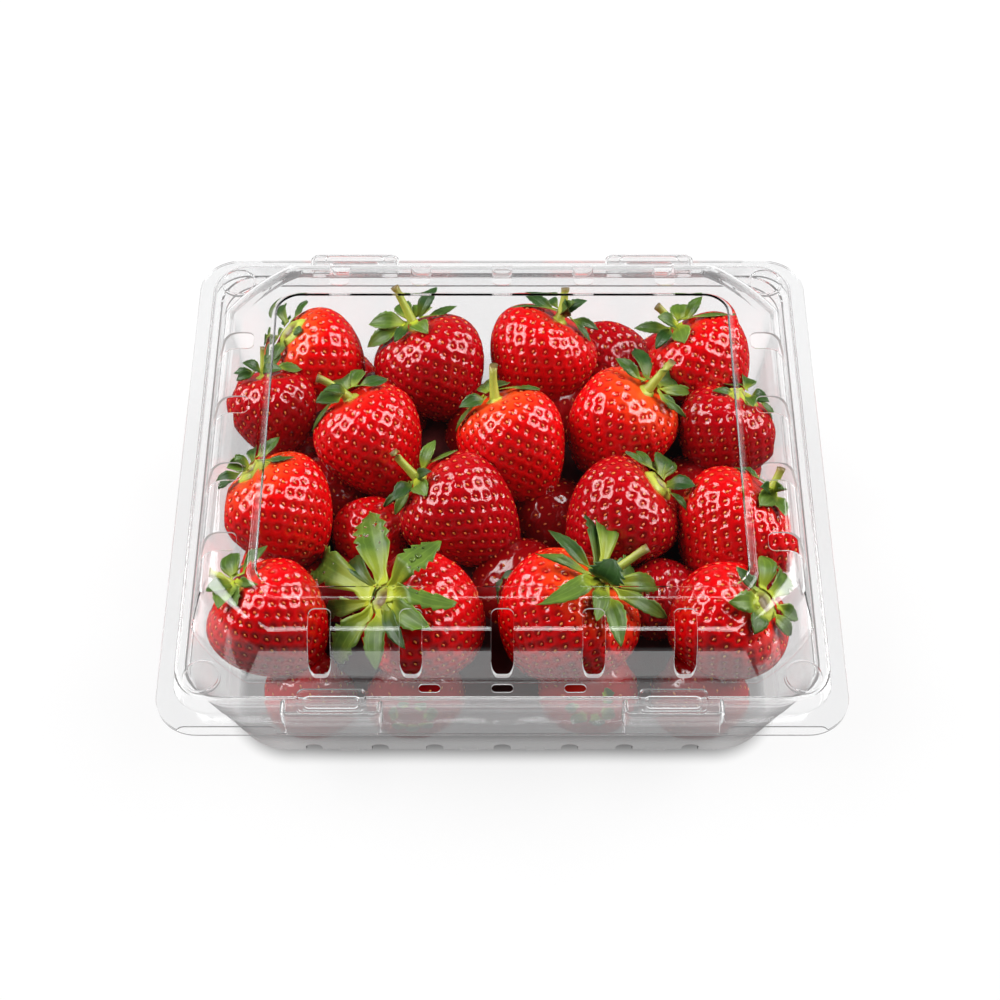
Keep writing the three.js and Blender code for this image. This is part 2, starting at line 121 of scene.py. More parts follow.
# The berries of the top layer, as the solids have them. azimuth and rise (degrees) point from the
# middle to the stalk. leaves are the tips of a crown's leaves and stalk the stalk's end, each so far
# right and up from the crown's middle, in pixels of the photograph; a leaf's third number is its
# width and its fourth how pale it is. A leaf that stands up off the crown has two more, how far it
# bulges and how far it comes forward. tone is the flesh, and point how conical the berry is.
TOP_BERRIES = {
    "back_left": dict(
        x=-69, y=58, z=51.5, width=36, long=1.05, azimuth=165, rise=43, tone="orange", point=0.3,
        leaves=[(10, 38, 9, 0.1), (-15, 34, 13, 0.1), (-8, 18, 12, 0.0), (-18, 0, 14, 0.4),
                (-30, -12, 12, 0.1), (-14, -32, 12, 0.4), (14, -2, 10, 0.2)]),
    "back_left_middle": dict(
        x=-26, y=53, z=49.5, width=43.5, long=1.0, azimuth=126, rise=50, tone="deep", point=0.3,
        leaves=[(-50, 7, 19, 0.7), (-50, -26, 18, 0.8), (-25, -17, 12, 0.1), (-18, 28, 18, 0.6),
                (10, 25, 20, 0.9), (24, 42, 15, 0.0), (45, 22, 9, 0.3), (12, -12, 18, 0.9)],
        stalk=(-22, 43)),
    "back_middle": dict(
        x=14, y=58, z=50.5, width=41, long=1.0, azimuth=47, rise=47, tone="bright", point=0.2,
        leaves=[(-51, 13, 9, 0.3), (-38, 28, 14, 0.0), (-18, 22, 14, 0.1), (4, 14, 16, 0.1),
                (14, 14, 12, 0.7), (28, 14, 13, 0.0), (42, -7, 9, 0.2), (35, -21, 9, 0.2)],
        stalk=(7, 35)),
    "back_between": dict(
        x=42, y=63, z=39.5, width=33.5, long=1.0, azimuth=90, rise=-20, tone="deep", point=0.2),
    "back_right": dict(
        x=78, y=53, z=51.5, width=40.5, long=1.0, azimuth=136, rise=43, tone="bright", point=0.2,
        leaves=[(-26, 10, 17, 0.7), (-49, -3, 13, 0.5), (-30, -20, 15, 0.0), (5, 31, 20, 0.8),
                (15, 20, 15, 0.0), (27, 34, 12, 0.5), (48, 13, 11, 0.5), (4, -17, 20, 1.0)],
        stalk=(-26, 27)),
    "left_back": dict(
        x=-87, y=32, z=49.5, width=34, long=1.05, azimuth=110, rise=52, tone="deep", point=0.2,
        leaves=[(-20, 10, 12, 0.1), (40, 9, 14, 0.7), (-30, -6, 10, 0.1), (12, 26, 12, 0.4),
                (22, 8, 12, 0.2), (-36, 3, 8, 0.0)],
        stalk=(0, 32)),
    "left_middle_back": dict(
        x=-48, y=15, z=52.5, width=40.5, long=1.14, azimuth=127, rise=48, tone="bright", point=0.5,
        leaves=[(-12, 22, 19, 0.1), (9, 30, 15, 0.5), (38, 18, 15, 0.1), (-36, -4, 19, 0.3),
                (-38, -32, 10, 0.3), (-26, 6, 12, 0.2)],
        stalk=(-34, 22)),
    "middle": dict(
        x=6, y=12, z=53.5, width=40, long=1.2, azimuth=126, rise=46, tone="orange", point=0.7,
        leaves=[(-36, -10, 14, 0.1), (-14, 16, 16, 0.3), (10, 20, 17, 0.0), (47, 13, 11, 0.4),
                (-40, -24, 8, 0.7), (-37, -34, 8, 0.4)],
        stalk=(-2, 38)),
    "right_middle_back": dict(
        x=43, y=23, z=52.5, width=40.5, long=1.15, azimuth=24, rise=55, tone="orange", point=0.4,
        leaves=[(-5, 46, 18, 0.0), (-34, 33, 12, 0.3), (30, 18, 24, 0.1), (50, -3, 13, 0.7),
                (32, -20, 12, 0.4), (36, -32, 6, 0.4), (-6, 6, 12, 0.5)],
        stalk=(27, 32)),
    "right_back": dict(
        x=84, y=22, z=48.5, width=37.5, long=1.0, azimuth=55, rise=49, tone="deep", point=0.3,
        leaves=[(-32, 9, 8, 0.3), (-15, 15, 13, 0.1), (8, 24, 20, 0.3), (27, -2, 14, 0.1),
                (38, -18, 10, 0.3), (10, -10, 14, 0.5)]),
    "left_middle": dict(
        x=-80, y=-16, z=51.5, width=43.5, long=1.02, azimuth=137, rise=44, tone="orange", point=0.5,
        leaves=[(-3, 26, 15, 0.0), (-24, 5, 16, 0.6), (28, 33, 9, 0.4), (40, 14, 10, 0.1),
                (-42, -14, 15, 0.0), (-20, 14, 12, 0.4)]),
    "left_sunk": dict(
        x=-48, y=-20, z=41.5, width=29.5, long=1.0, azimuth=106, rise=-20, tone="bright", point=0.3),
    "middle_left_front": dict(
        x=-13, y=-15, z=48.5, width=42.5, long=1.16, azimuth=156, rise=34, tone="deep", point=0.7,
        leaves=[(16, 42, 13, 0.9), (36, 30, 11, 0.7), (13, 11, 11, 0.0), (3, -17, 18, 1.0),
                (-29, -18, 15, 0.0), (-38, -26, 8, 0.3), (-22, -36, 11, 0.8)],
        stalk=(-29, 31)),
    "middle_right_front": dict(
        x=42, y=-17, z=49.5, width=45, long=1.0, azimuth=27, rise=35, tone="deep", point=0.6,
        leaves=[(10, 32, 22, 0.1), (-20, 36, 9, 0.3), (-35, 33, 8, 0.4), (-10, 24, 14, 0.7),
                (36, 0, 17, 0.0), (26, -28, 6, 0.3), (18, 26, 12, 0.5)]),
    "right_middle": dict(
        x=84, y=-24, z=49.5, width=46, long=1.0, azimuth=35, rise=41, tone="bright", point=0.5,
        leaves=[(-32, 28, 11, 0.1), (-14, 12, 12, 0.0), (-12, -15, 18, 0.9), (17, -20, 16, 0.6),
                (6, 10, 12, 0.5)],
        stalk=(14, 29)),
    "front_left": dict(
        x=-81, y=-61, z=48.5, width=42, long=1.05, azimuth=150, rise=42, tone="bright", point=0.2,
        leaves=[(-10, 32, 22, 0.5), (-14, -20, 20, 0.9), (15, 15, 14, 0.1), (28, 42, 9, 0.6),
                (-28, -4, 14, 0.3), (6, -18, 16, 0.8), (24, 8, 10, 0.7)],
        stalk=(-32, 18)),
    "front_left_middle": dict(
        x=-26, y=-59, z=47.5, width=46.5, long=1.0, azimuth=-178, rise=44, tone="bright", point=0.1,
        leaves=[(-10, 88, 34, 0.9), (56, 70, 28, 0.85), (70, 26, 25, 0.8), (51, -18, 22, 0.75),
                (22, -42, 16, 0.1), (-10, -65, 21, 0.8), (-54, -56, 30, 0.85), (-64, -13, 24, 0.7),
                (-72, 38, 36, 0.85), (-33, 42, 17, 0.0)],
        drops=[(0, 0.76, -0.3, 1.1), (0, 0.65, 0.35, 1.0), (0, 0.64, 0.7, 0.7), (0, 0.76, 0.4, 0.6),
               (0, 0.66, -0.6, 0.6), (0, 0.45, 0.0, 0.6), (0, 0.52, -0.35, 0.5), (0, 0.85, 0.1, 0.45),
               (1, 0.67, -0.1, 1.3), (1, 0.58, 0.1, 1.2), (1, 0.82, 0.3, 0.6), (1, 0.62, -0.7, 0.6),
               (1, 0.75, 0.6, 0.5), (1, 0.48, -0.3, 0.5), (8, 0.61, 0.3, 0.6), (8, 0.5, -0.3, 0.45),
               (8, 0.72, 0.0, 0.4), (2, 0.6, 0.2, 0.45)]),
    "front_middle": dict(
        x=21, y=-60, z=47.5, width=49, long=1.02, azimuth=22, rise=53, tone="orange", point=0.1,
        leaves=[(-4, 78, 24, 0.0), (13, 72, 22, 0.7), (14, 24, 36, 0.0, 0.35, 0.75), (-44, 56, 13, 0.1),
                (-60, 38, 10, 0.7), (-62, -3, 19, 0.8), (64, -6, 19, 0.7), (36, 14, 24, 0.3),
                (66, -40, 17, 0.6), (28, -56, 19, 0.7), (-4, -34, 18, 0.9)],
        stalk=(47, 36)),
    "front_sunk": dict(
        x=57, y=-47, z=38.5, width=31.5, long=1.0, azimuth=73, rise=-20, tone="deep", point=0.2),
    "front_right": dict(
        x=78, y=-61, z=47.5, width=43.5, long=1.0, azimuth=-2, rise=49, tone="bright", point=0.2,
        leaves=[(2, 48, 22, 0.8), (-24, 38, 10, 0.2), (-36, 6, 22, 0.9), (33, 25, 24, 0.6),
                (-14, -24, 18, 0.5), (40, -12, 15, 0.6), (30, -30, 14, 0.7)]),
}
# Berries deep in the heap that close its gaps: place, width, and the way their stalks point
DEEP_BERRIES = [
    (-50, 42, 31, 38, 40), (-2, 36, 29, 40, 160), (44, 42, 29, 38, 250), (-68, 8, 29, 38, 300),
    (-28, 2, 27, 38, 80), (22, -2, 28, 38, 200), (66, 4, 29, 38, 20), (-58, -40, 27, 38, 130),
    (-4, -34, 28, 40, 240), (50, -36, 26, 38, 330), (20, 42, 32, 32, 90),
]
DEEP_SHAPE = dict(rise=0, long=1.05, point=0.3, tone="shaded")
# The dark leaves in the gap between the middle and front rows belong to the one of them numbered 8
DEEP_CROWN = {
    8: dict(x=9, y=-36, rise=60, leaves=[
        (-16, 6, 14, 0.1), (-6, 18, 14, 0.0), (14, 16, 15, 0.1), (24, -2, 13, 0.2),
        (10, -14, 12, 0.1), (-14, -12, 13, 0.2)]),
}

LOWER = dict(
    z=22.5, inset_x=21.5, inset_y=20.5, along_x=(-70, -31, 31, 70), along_y=(-22, 22), width=38, long=1.1)
# The two lower berries whose crowns show through the tub's front wall, by their place along it
LOWER_FRONT = {
    -31: dict(azimuth=-95, rise=24, leaves=[
        (-22, 2, 15, 0.9), (-17, -20, 15, 0.9), (2, -30, 14, 0.8), (20, -20, 15, 0.9), (27, 0, 14, 0.8),
        (14, 16, 12, 0.6), (-10, 16, 12, 0.6)]),
    31: dict(azimuth=-88, rise=42, leaves=[
        (-15, -27, 14, 0.7), (9, -36, 15, 0.7), (24, -18, 13, 0.6), (-26, -6, 12, 0.6), (22, 8, 12, 0.5)]),
}
# Where the random draws of the hidden berries' shapes, their places and the crowns start
HIDDEN_DRAWS, LOWER_DRAWS, CROWN_DRAWS = 50, 77, 900
# A dark block that paints the shade deep in the heap, under the berries of the top layer
SHADE_CORE = dict(y=-12, half_x=84, half_y=60, bottom=7, top=36, corner=26)

# The share of a berry's length where it is widest, and how deep its stalk end is drawn in
WIDEST_AT = 0.36
HOLLOW = 2.6
# Seeds lie between two shares of the length, at an even spacing that is off by a jitter
SEEDS_FROM, SEEDS_TO = 0.03, 0.985
SEED_SPACING, SEED_JITTER = 4.6, 0.22
SEED = dict(long=1.6, wide=0.95, thick=0.8, sunk=0.34)
# Rings of points round every seed: distance round the berry, distance along it, depth, points
PIT_RINGS = [(0, 0, 0.6, 1), (0.7, 0.84, 0.58, 6), (1.14, 1.36, 0.4, 8), (1.52, 1.8, 0.03, 10)]
LOWER_PIT_RINGS = [(0, 0, 0.6, 1), (1.3, 1.5, 0.15, 7)]
# The depth from which a pit's painted shade is as dark as it gets
PIT_SHADE_DEPTH = 0.5
# The skin between pits: its points' spacing and jitter, their distance from seeds, and its bulge
BETWEEN_SPACING, BETWEEN_JITTER, BETWEEN_CLEAR, BETWEEN_BULGE = 1.45, 0.1, 2.15, 0.04
LOWER_BETWEEN_SPACING = BETWEEN_SPACING * 1.5

# Millimetres to a pixel of the photograph at the berries
PHOTO_MM = 0.355
LEAF_THICK = 0.3
LEAF_WIDER = 1.15
LEAF_ROWS, LEAF_COLUMNS = 32, 7
LEAF_ROOT = 0.44
TOOTH_LENGTH = 0.125
# How far out a leaf is widest, how slim its ends are, how wide its tip is and how deep its teeth
BROAD_FROM = 9
BROAD_LEAF = dict(far=1.65, slim=0.62, end=0.16, tooth=0.36)
NARROW_LEAF = dict(far=1.35, slim=0.85, end=0.04, tooth=0.15)
# How far from a crown's middle its leaves begin, with a stalk and with a hollow in place of it
LEAF_START = dict(stalk=2.4, hollow=4.0)
DROP_HEIGHT = 0.65
# Rings of a crown's middle: radius, height, and how brown it is
CALYX = [(3.6, -0.5, 0), (3.0, 0.5, 0), (2.0, 1.0, 0), (1.2, 1.2, 0.2)]
HOLLOW_CALYX = [(7.4, -0.3, 0), (6.4, 1.2, 0), (5.0, 2.3, 0.1), (4.0, 2.2, 0.7), (3.0, 1.0, 1), (1.2, 0.5, 1)]
STALK = dict(radius=1.4, foot=1.0, cut=0.25, sunk=1.2, longer=1.08, bend=0.2)

# Flesh: its colour, that of its shoulder and of its darker patches, and how far down a shoulder reaches
FLESH = {
    "bright": ((0.6, 0.0015, 0.003), (0.66, 0.02, 0.006), (0.4, 0.001, 0.002), 0.12),
    "deep": ((0.42, 0.001, 0.004), (0.52, 0.008, 0.006), (0.26, 0.0008, 0.003), 0.12),
    "orange": ((0.68, 0.002, 0.003), (0.8, 0.09, 0.01), (0.5, 0.001, 0.002), 0.2),
    "shaded": ((0.28, 0.0006, 0.002), (0.3, 0.002, 0.002), (0.2, 0.0005, 0.001), 0.1),
}
# How hazy the plastic looks, and how much it blurs what is behind it, at shares of a height in metres
HAZE_HEIGHT = 0.1
TUB_HAZE = [(0, 0.03), (0.022, 0.03), (0.032, 0.48), (0.1, 0.4), (0.18, 0.1), (0.5, 0.07), (0.53, 0.02)]
LID_HAZE = [(0.52, 0.02), (0.61, 0.06), (0.617, 0)]
TUB_BLUR = [(0, 0.16), (0.44, 0.12), (0.49, 0)]
LID_BLUR = [(0, 0), (1, 0)]
# Cut faces are hazier, as cut edges are matte; with the milk's glow this also paints a highlight along them
CUT_HAZE = 0.5
# The haze's milk colour, and a glow added on top of the light it gets: painted light on the haze
MILK, MILK_PAINTED_GLOW = (0.7, 0.69, 0.69), 0.42

FLOOR_HALF = 4000
# How brightly the floor glows where it is seen, where it lights other things, and in their gloss
FLOOR_GLOW, FLOOR_BOUNCE, FLOOR_GLOSS = 0.86, 0.02, 0.0
# The floor is bright up to the first distance (metres) and fades to a share of that at the second
FLOOR_FADE = dict(From_Min=0.45, From_Max=0.95, To_Min=1, To_Max=0.35)
# Under the tub the floor is shaded to this share, between these distances (metres) from its foot
FLOOR_SHADE = dict(From_Min=-0.002, From_Max=0.008, To_Min=0.2)
AIR = (0.02, 0.02, 0.021)
LIT_MIDDLE = (0, 0, 0.05)


def ring_points(half_x, half_y, corner, flat, steps, **_):
    """Points of a rectangle with rounded corners, anticlockwise. flat mixes in a straight cut."""
    points = []
    for quarter, (sx, sy) in enumerate(((1, 1), (-1, 1), (-1, -1), (1, -1))):
        start = quarter * math.pi / 2
        for step in range(steps + 1):
            share = step / steps
            angle = start + share * math.pi / 2
            cut_x = math.cos(start) * (1 - share) - math.sin(start) * share
            cut_y = math.sin(start) * (1 - share) + math.cos(start) * share
            x = math.cos(angle) * (1 - flat) + cut_x * flat
            y = math.sin(angle) * (1 - flat) + cut_y * flat
            points.append((sx * (half_x - corner) + x * corner, sy * (half_y - corner) + y * corner))
    return points


def blend_sizes(a, b, share):
    """The ring that lies at a share of the way from ring a to ring b."""
    return {key: a[key] * (1 - share) + b[key] * share for key in a}


def filleted(rings, radius=FILLET, steps=4):
    """The same rings with each bend between them rounded."""
    made = [rings[0]]
    for before, ring, after in zip(rings, rings[1:], rings[2:]):
        reach_in = min(0.45, radius / max(ring_distance(before, ring), 1e-6))
        reach_out = min(0.45, radius / max(ring_distance(ring, after), 1e-6))
        enter = blend_sizes(ring, before, reach_in)
        leave = blend_sizes(ring, after, reach_out)
        for step in range(steps + 1):
            share = step / steps
            made.append(blend_sizes(blend_sizes(enter, ring, share), blend_sizes(ring, leave, share), share))
    made.append(rings[-1])
    return made


def ring_distance(a, b):
    return math.hypot(a["half_x"] - b["half_x"], a["z"] - b["z"])


def grown(ring, grow, lift=0):
    """A ring with its sides moved out by grow and its height by lift."""
    corner = max(ring["corner"] + grow, 0.4)
    return dict(ring, half_x=ring["half_x"] + grow, half_y=ring["half_y"] + grow, corner=corner,
                z=ring["z"] + lift)


def in_scene(name, data):
    """A new object in the scene."""
    thing = bpy.data.objects.new(name, data)
    bpy.context.scene.collection.objects.link(thing)
    return thing


def object_from(name, points, faces):
    """A smooth mesh object from points in millimetres."""
    mesh = bpy.data.meshes.new(name)
    mesh.from_pydata((np.array(points) * MM).tolist(), [], faces)
    mesh.polygons.foreach_set("use_smooth", [True] * len(mesh.polygons))
    mesh.update()
    return in_scene(name, mesh)


def give_values(thing, name, values, domain="POINT"):
    """Stores one number for each point or face of a piece, for its material."""
    layer = thing.data.attributes.new(name, "FLOAT", domain)
    layer.data.foreach_set("value", np.array(values, dtype=np.float32))


def turns(sides):
    """The angles of a regular shape's corners."""
    return [i / sides * 2 * math.pi for i in range(sides)]


def tube_faces(rings, sides, start=0, capped=False):
    """The faces between equal rings of points that are numbered from start, closed where capped."""
    faces = []
    for ring in range(rings - 1):
        for i in range(sides):
            a = start + ring * sides + i
            b = start + ring * sides + (i + 1) % sides
            faces.append((a, b, b + sides, a + sides))
    if capped:
        faces.append(tuple(range(start + sides - 1, start - 1, -1)))
        last = start + (rings - 1) * sides
        faces.append(tuple(range(last, last + sides)))
    return faces


def loft(rings, steps=CORNER_STEPS, middle=(0, 0)):
    """A closed solid through rings, given from the bottom up."""
    points = []
    for ring in rings:
        for x, y in ring_points(steps=steps, **ring):
            points.append((x + middle[0], y + middle[1], ring["z"]))
    return object_from("loft", points, tube_faces(len(rings), 4 * (steps + 1), capped=True))


def block(x, y, width, depth, corner, bottom, top, steps=5, rounded=0):
    """An upright block with rounded corners, and a rounded rim where rounded is set."""
    ring = dict(half_x=width / 2, half_y=depth / 2, corner=corner, flat=0, z=bottom)
    rings = [ring, dict(ring, z=top)]
    if rounded:
        rings[1] = dict(ring, z=top - rounded)
        for step in range(1, 4):
            angle = step / 3 * math.pi / 2
            drawn = rounded * (1 - math.cos(angle))
            rings.append(grown(dict(ring, z=top - rounded + rounded * math.sin(angle)), -drawn))
    return loft(rings, steps, (x, y))


def arch(width, top, depth, middle, turned):
    """A prism with a round top that cuts one notch, along Y or, turned, along X."""
    outline = [(-width / 2, -1), (width / 2, -1)]
    for step in range(9):
        angle = step / 8 * math.pi
        outline.append((math.cos(angle) * width / 2, top - width / 2 + math.sin(angle) * width / 2))
    points = []
    for y in (-depth / 2, depth / 2):
        for x, z in outline:
            place = (y + middle[0], x + middle[1], z) if turned else (x + middle[0], y + middle[1], z)
            points.append(place)
    count = len(outline)
    faces = [tuple(range(count)), tuple(range(2 * count - 1, count - 1, -1))]
    for i in range(count):
        j = (i + 1) % count
        faces.append((i, i + count, j + count, j))
    if turned:
        faces = [tuple(reversed(face)) for face in faces]
    return object_from("arch", points, faces)


def boolean(target, others, operation):
    """Joins others to target or cuts them from it, then removes them."""
    group = bpy.data.collections.new("cutters")
    bpy.context.scene.collection.children.link(group)
    for other in others:
        bpy.context.scene.collection.objects.unlink(other)
        group.objects.link(other)
    modifier = target.modifiers.new("boolean", "BOOLEAN")
    modifier.operation = operation
    modifier.operand_type = "COLLECTION"
    modifier.collection = group
    modifier.solver = "EXACT"
    apply_modifiers(target)
    for other in others:
        bpy.data.objects.remove(other)
    bpy.data.collections.remove(group)
    return target


def apply_modifiers(thing):
    shape = bpy.data.meshes.new_from_object(thing.evaluated_get(bpy.context.evaluated_depsgraph_get()))
    thing.modifiers.clear()
    old = thing.data
    thing.data = shape
    bpy.data.meshes.remove(old)


def on_cut(place, cuts):
    """Whether a point lies on the upright side of one of the round-cornered cuts."""
    for x, y, width, depth, corner, bottom in cuts:
        over_x = abs(place.x / MM - x) - width / 2 + corner
        over_y = abs(place.y / MM - y) - depth / 2 + corner
        outside = math.hypot(max(over_x, 0), max(over_y, 0)) + min(max(over_x, over_y), 0) - corner
        if abs(outside) < 0.15 and place.z / MM > bottom:
            return True
    return False


def finish_shell(thing, name, cuts=()):
    """Shades a moulded shell smooth between its sharp edges, eases those, and marks cuts."""
    thing.name = thing.data.name = name
    shape = bmesh.new()
    shape.from_mesh(thing.data)
    bmesh.ops.remove_doubles(shape, verts=shape.verts, dist=0.00001)
    bmesh.ops.dissolve_degenerate(shape, edges=shape.edges, dist=0.00001)
    marked = []
    for face in shape.faces:
        face.smooth = True
        marked.append(float(abs(face.normal.z) < 0.6 and on_cut(face.calc_center_median(), cuts)))
    for edge in shape.edges:
        edge.smooth = len(edge.link_faces) == 2 and edge.calc_face_angle(0) < SHARP_ANGLE
    shape.to_mesh(thing.data)
    shape.free()
    give_values(thing, "cut", marked, "FACE")
    ease = thing.modifiers.new("eased edges", "BEVEL")
    ease.width = EASED * MM
    ease.segments = 1
    ease.limit_method = "ANGLE"
    ease.angle_limit = EASED_ANGLE
    weigh = thing.modifiers.new("even normals", "WEIGHTED_NORMAL")
    weigh.keep_sharp = True
    return thing


def make_tub():
    upward = TUB_RINGS[::-1]
    outside = loft(filleted(upward))
    plate = loft([dict(FLANGE, z=TUB_HEIGHT - WALL), dict(FLANGE, z=TUB_HEIGHT)])
    boolean(outside, [plate] + foot_ribs(), "UNION")
    inner = [grown(ring, -WALL) for ring in upward]
    inner[0]["z"] = WALL
    inner[-1]["z"] += 1
    inside = loft(filleted(inner))
    panel = [grown(dict(BASE_PANEL, z=-1), BASE_SLOPE), dict(BASE_PANEL, z=BASE_RISE)]
    boolean(inside, [loft([grown(ring, WALL, WALL) for ring in panel])], "DIFFERENCE")
    boolean(outside, [inside, loft(panel)], "DIFFERENCE")
    boolean(outside, base_vents(), "DIFFERENCE")
    return finish_shell(outside, "clear_tub")


def foot_ribs():
    """Upright ribs between the notches, which run out higher up the wall."""
    rib = RIB
    depth = rib["to_y"] - rib["from_y"]
    middle = (rib["from_y"] + rib["to_y"]) / 2
    return [block(x, side * middle, rib["width"], depth, rib["corner"], rib["bottom"], rib["top"],
                  rounded=rib["rounded"]) for side in (-1, 1) for x in rib["along_x"]]


def base_vents():
    width, top, inward, outward = (BASE_VENT[k] for k in ("width", "top", "inward", "outward"))
    edge = TUB_RINGS[2]
    cuts = []
    for side in (-1, 1):
        y = side * (edge["half_y"] + (outward - inward) / 2)
        x = side * (edge["half_x"] + (outward - inward) / 2)
        cuts += [arch(width, top, inward + outward, (at, y), False) for at in BASE_VENTS_ALONG_X]
        cuts += [arch(width, top, inward + outward, (x, at), True) for at in BASE_VENTS_ALONG_Y]
    return cuts


def corners_of(x, y):
    return [(sx * x, sy * y) for sx in (-1, 1) for sy in (-1, 1)]


def latch_blocks(grow, bottom, top):
    depth = LATCH["to_y"] - LATCH["from_y"] + grow
    made = []
    for x, y in corners_of(LATCH["x"], LATCH["from_y"] + depth / 2):
        made.append(block(x, y, LATCH["width"] + 2 * grow, depth, LATCH["corner"] + grow, bottom, top,
                          rounded=LATCH["rounded"]))
    return made


def lid_dishes(grow):
    made = []
    recess = LATCH_RECESS
    tall = SHELF_TOP + 3
    for x, y in corners_of(LATCH["x"], (recess["from_y"] + recess["to_y"]) / 2):
        for sunken, inset in ((recess["rim_depth"], 0), (recess["depth"], recess["rim"])):
            width = recess["width"] + 2 * (grow - inset)
            depth = recess["to_y"] - recess["from_y"] + 2 * (grow - inset)
            floor = LATCH["top"] - sunken - grow
            made.append(block(x, y, width, depth, recess["corner"] + grow, floor, tall))
    for x, y in corners_of(BUTTON["x"], BUTTON["y"]):
        side = 2 * (BUTTON["radius"] + grow)
        floor = SHELF_TOP - BUTTON["depth"] - grow
        made.append(block(x, y, side, side, side / 2 - 0.01, floor, tall, steps=10))
    return made


def slot_places():
    """Middle, width, depth, corner and lowest height of every long slot over the ridge."""
    places = []
    for side in (-1, 1):
        for slots, upright in ((SLOTS_ALONG_X, True), (SLOTS_ALONG_Y, False)):
            middle = side * (slots["inner"] + slots["outer"]) / 2
            length = slots["outer"] - slots["inner"]
            for at in slots["at"]:
                x, y = (at, middle) if upright else (middle, at)
                width, depth = (SLOT["width"], length) if upright else (length, SLOT["width"])
                places.append((x, y, width, depth, SLOT["corner"], SHELF_TOP + 1))
    return places


def vent_places():
    """The same for the short vents in the shelf."""
    depth = SHELF_VENT["to_y"] - SHELF_VENT["from_y"]
    middle = (SHELF_VENT["from_y"] + SHELF_VENT["to_y"]) / 2
    return [(x, side * middle, SHELF_VENT["width"], depth, depth / 2 - 0.01, 2)
            for side in (-1, 1) for x in SHELF_VENT["at"]]


def make_lid():
    outside = loft([dict(FLANGE, z=0), dict(FLANGE, z=WALL)])
    notch = FINGER_NOTCH
    width = notch["to_x"] - notch["from_x"]
    depth = notch["depth"]
    notches = [block(side * (notch["from_x"] + notch["to_x"]) / 2, -notch["edge_y"] - depth / 2, width, depth,
                     notch["corner"], -1, 2) for side in (-1, 1)]
    boolean(outside, notches, "DIFFERENCE")
    step = loft(filleted(STEP_RINGS + [grown(STEP_RINGS[-1], -4)], 1.0))
    boolean(outside, [step, loft(filleted(DOME_RINGS))] + latch_blocks(0, 0, LATCH["top"]), "UNION")
    boolean(outside, lid_dishes(0), "DIFFERENCE")
    step_rings = [grown(ring, -WALL) for ring in STEP_RINGS]
    step_rings[0]["z"] = -1
    step_rings[1]["z"] -= WALL
    inside = loft(filleted(step_rings + [grown(step_rings[-1], -4)], 0.7))
    dome_inside = loft(filleted([grown(ring, -WALL, -WALL) for ring in DOME_RINGS]))
    boolean(inside, [dome_inside] + latch_blocks(-WALL, -1, LATCH["top"] - WALL), "UNION")
    boolean(inside, lid_dishes(WALL), "DIFFERENCE")
    boolean(outside, [inside], "DIFFERENCE")
    slots, vents = slot_places(), vent_places()
    cutters = [block(*place, SLOT["top"], steps=6) for place in slots]
    cutters += [block(*place, SHELF_TOP + 2) for place in vents]
    boolean(outside, cutters, "DIFFERENCE")
    outside.data.transform(Matrix.Translation((0, 0, LID_Z * MM)))
    return finish_shell(outside, "clear_lid", slots + vents)


def berry_radius(share, point):
    """How wide a berry is at a share of its length from the stalk end, more conical with point."""
    share = np.clip(share, 0, 1)
    upper = np.clip(1 - np.abs(1 - share / WIDEST_AT) ** 2.5, 0, 1) ** 0.5
    down = np.clip(share - WIDEST_AT, 0, 1) / (1 - WIDEST_AT)
    lower = np.clip(1 - down ** (1.95 - 0.45 * point), 0, 1) ** (0.66 + 0.1 * point)
    return np.where(share < WIDEST_AT, upper, lower)


def unit(vectors):
    """The same vectors, each of length 1."""
    return vectors / np.maximum(np.linalg.norm(vectors, axis=-1, keepdims=True), 1e-9)


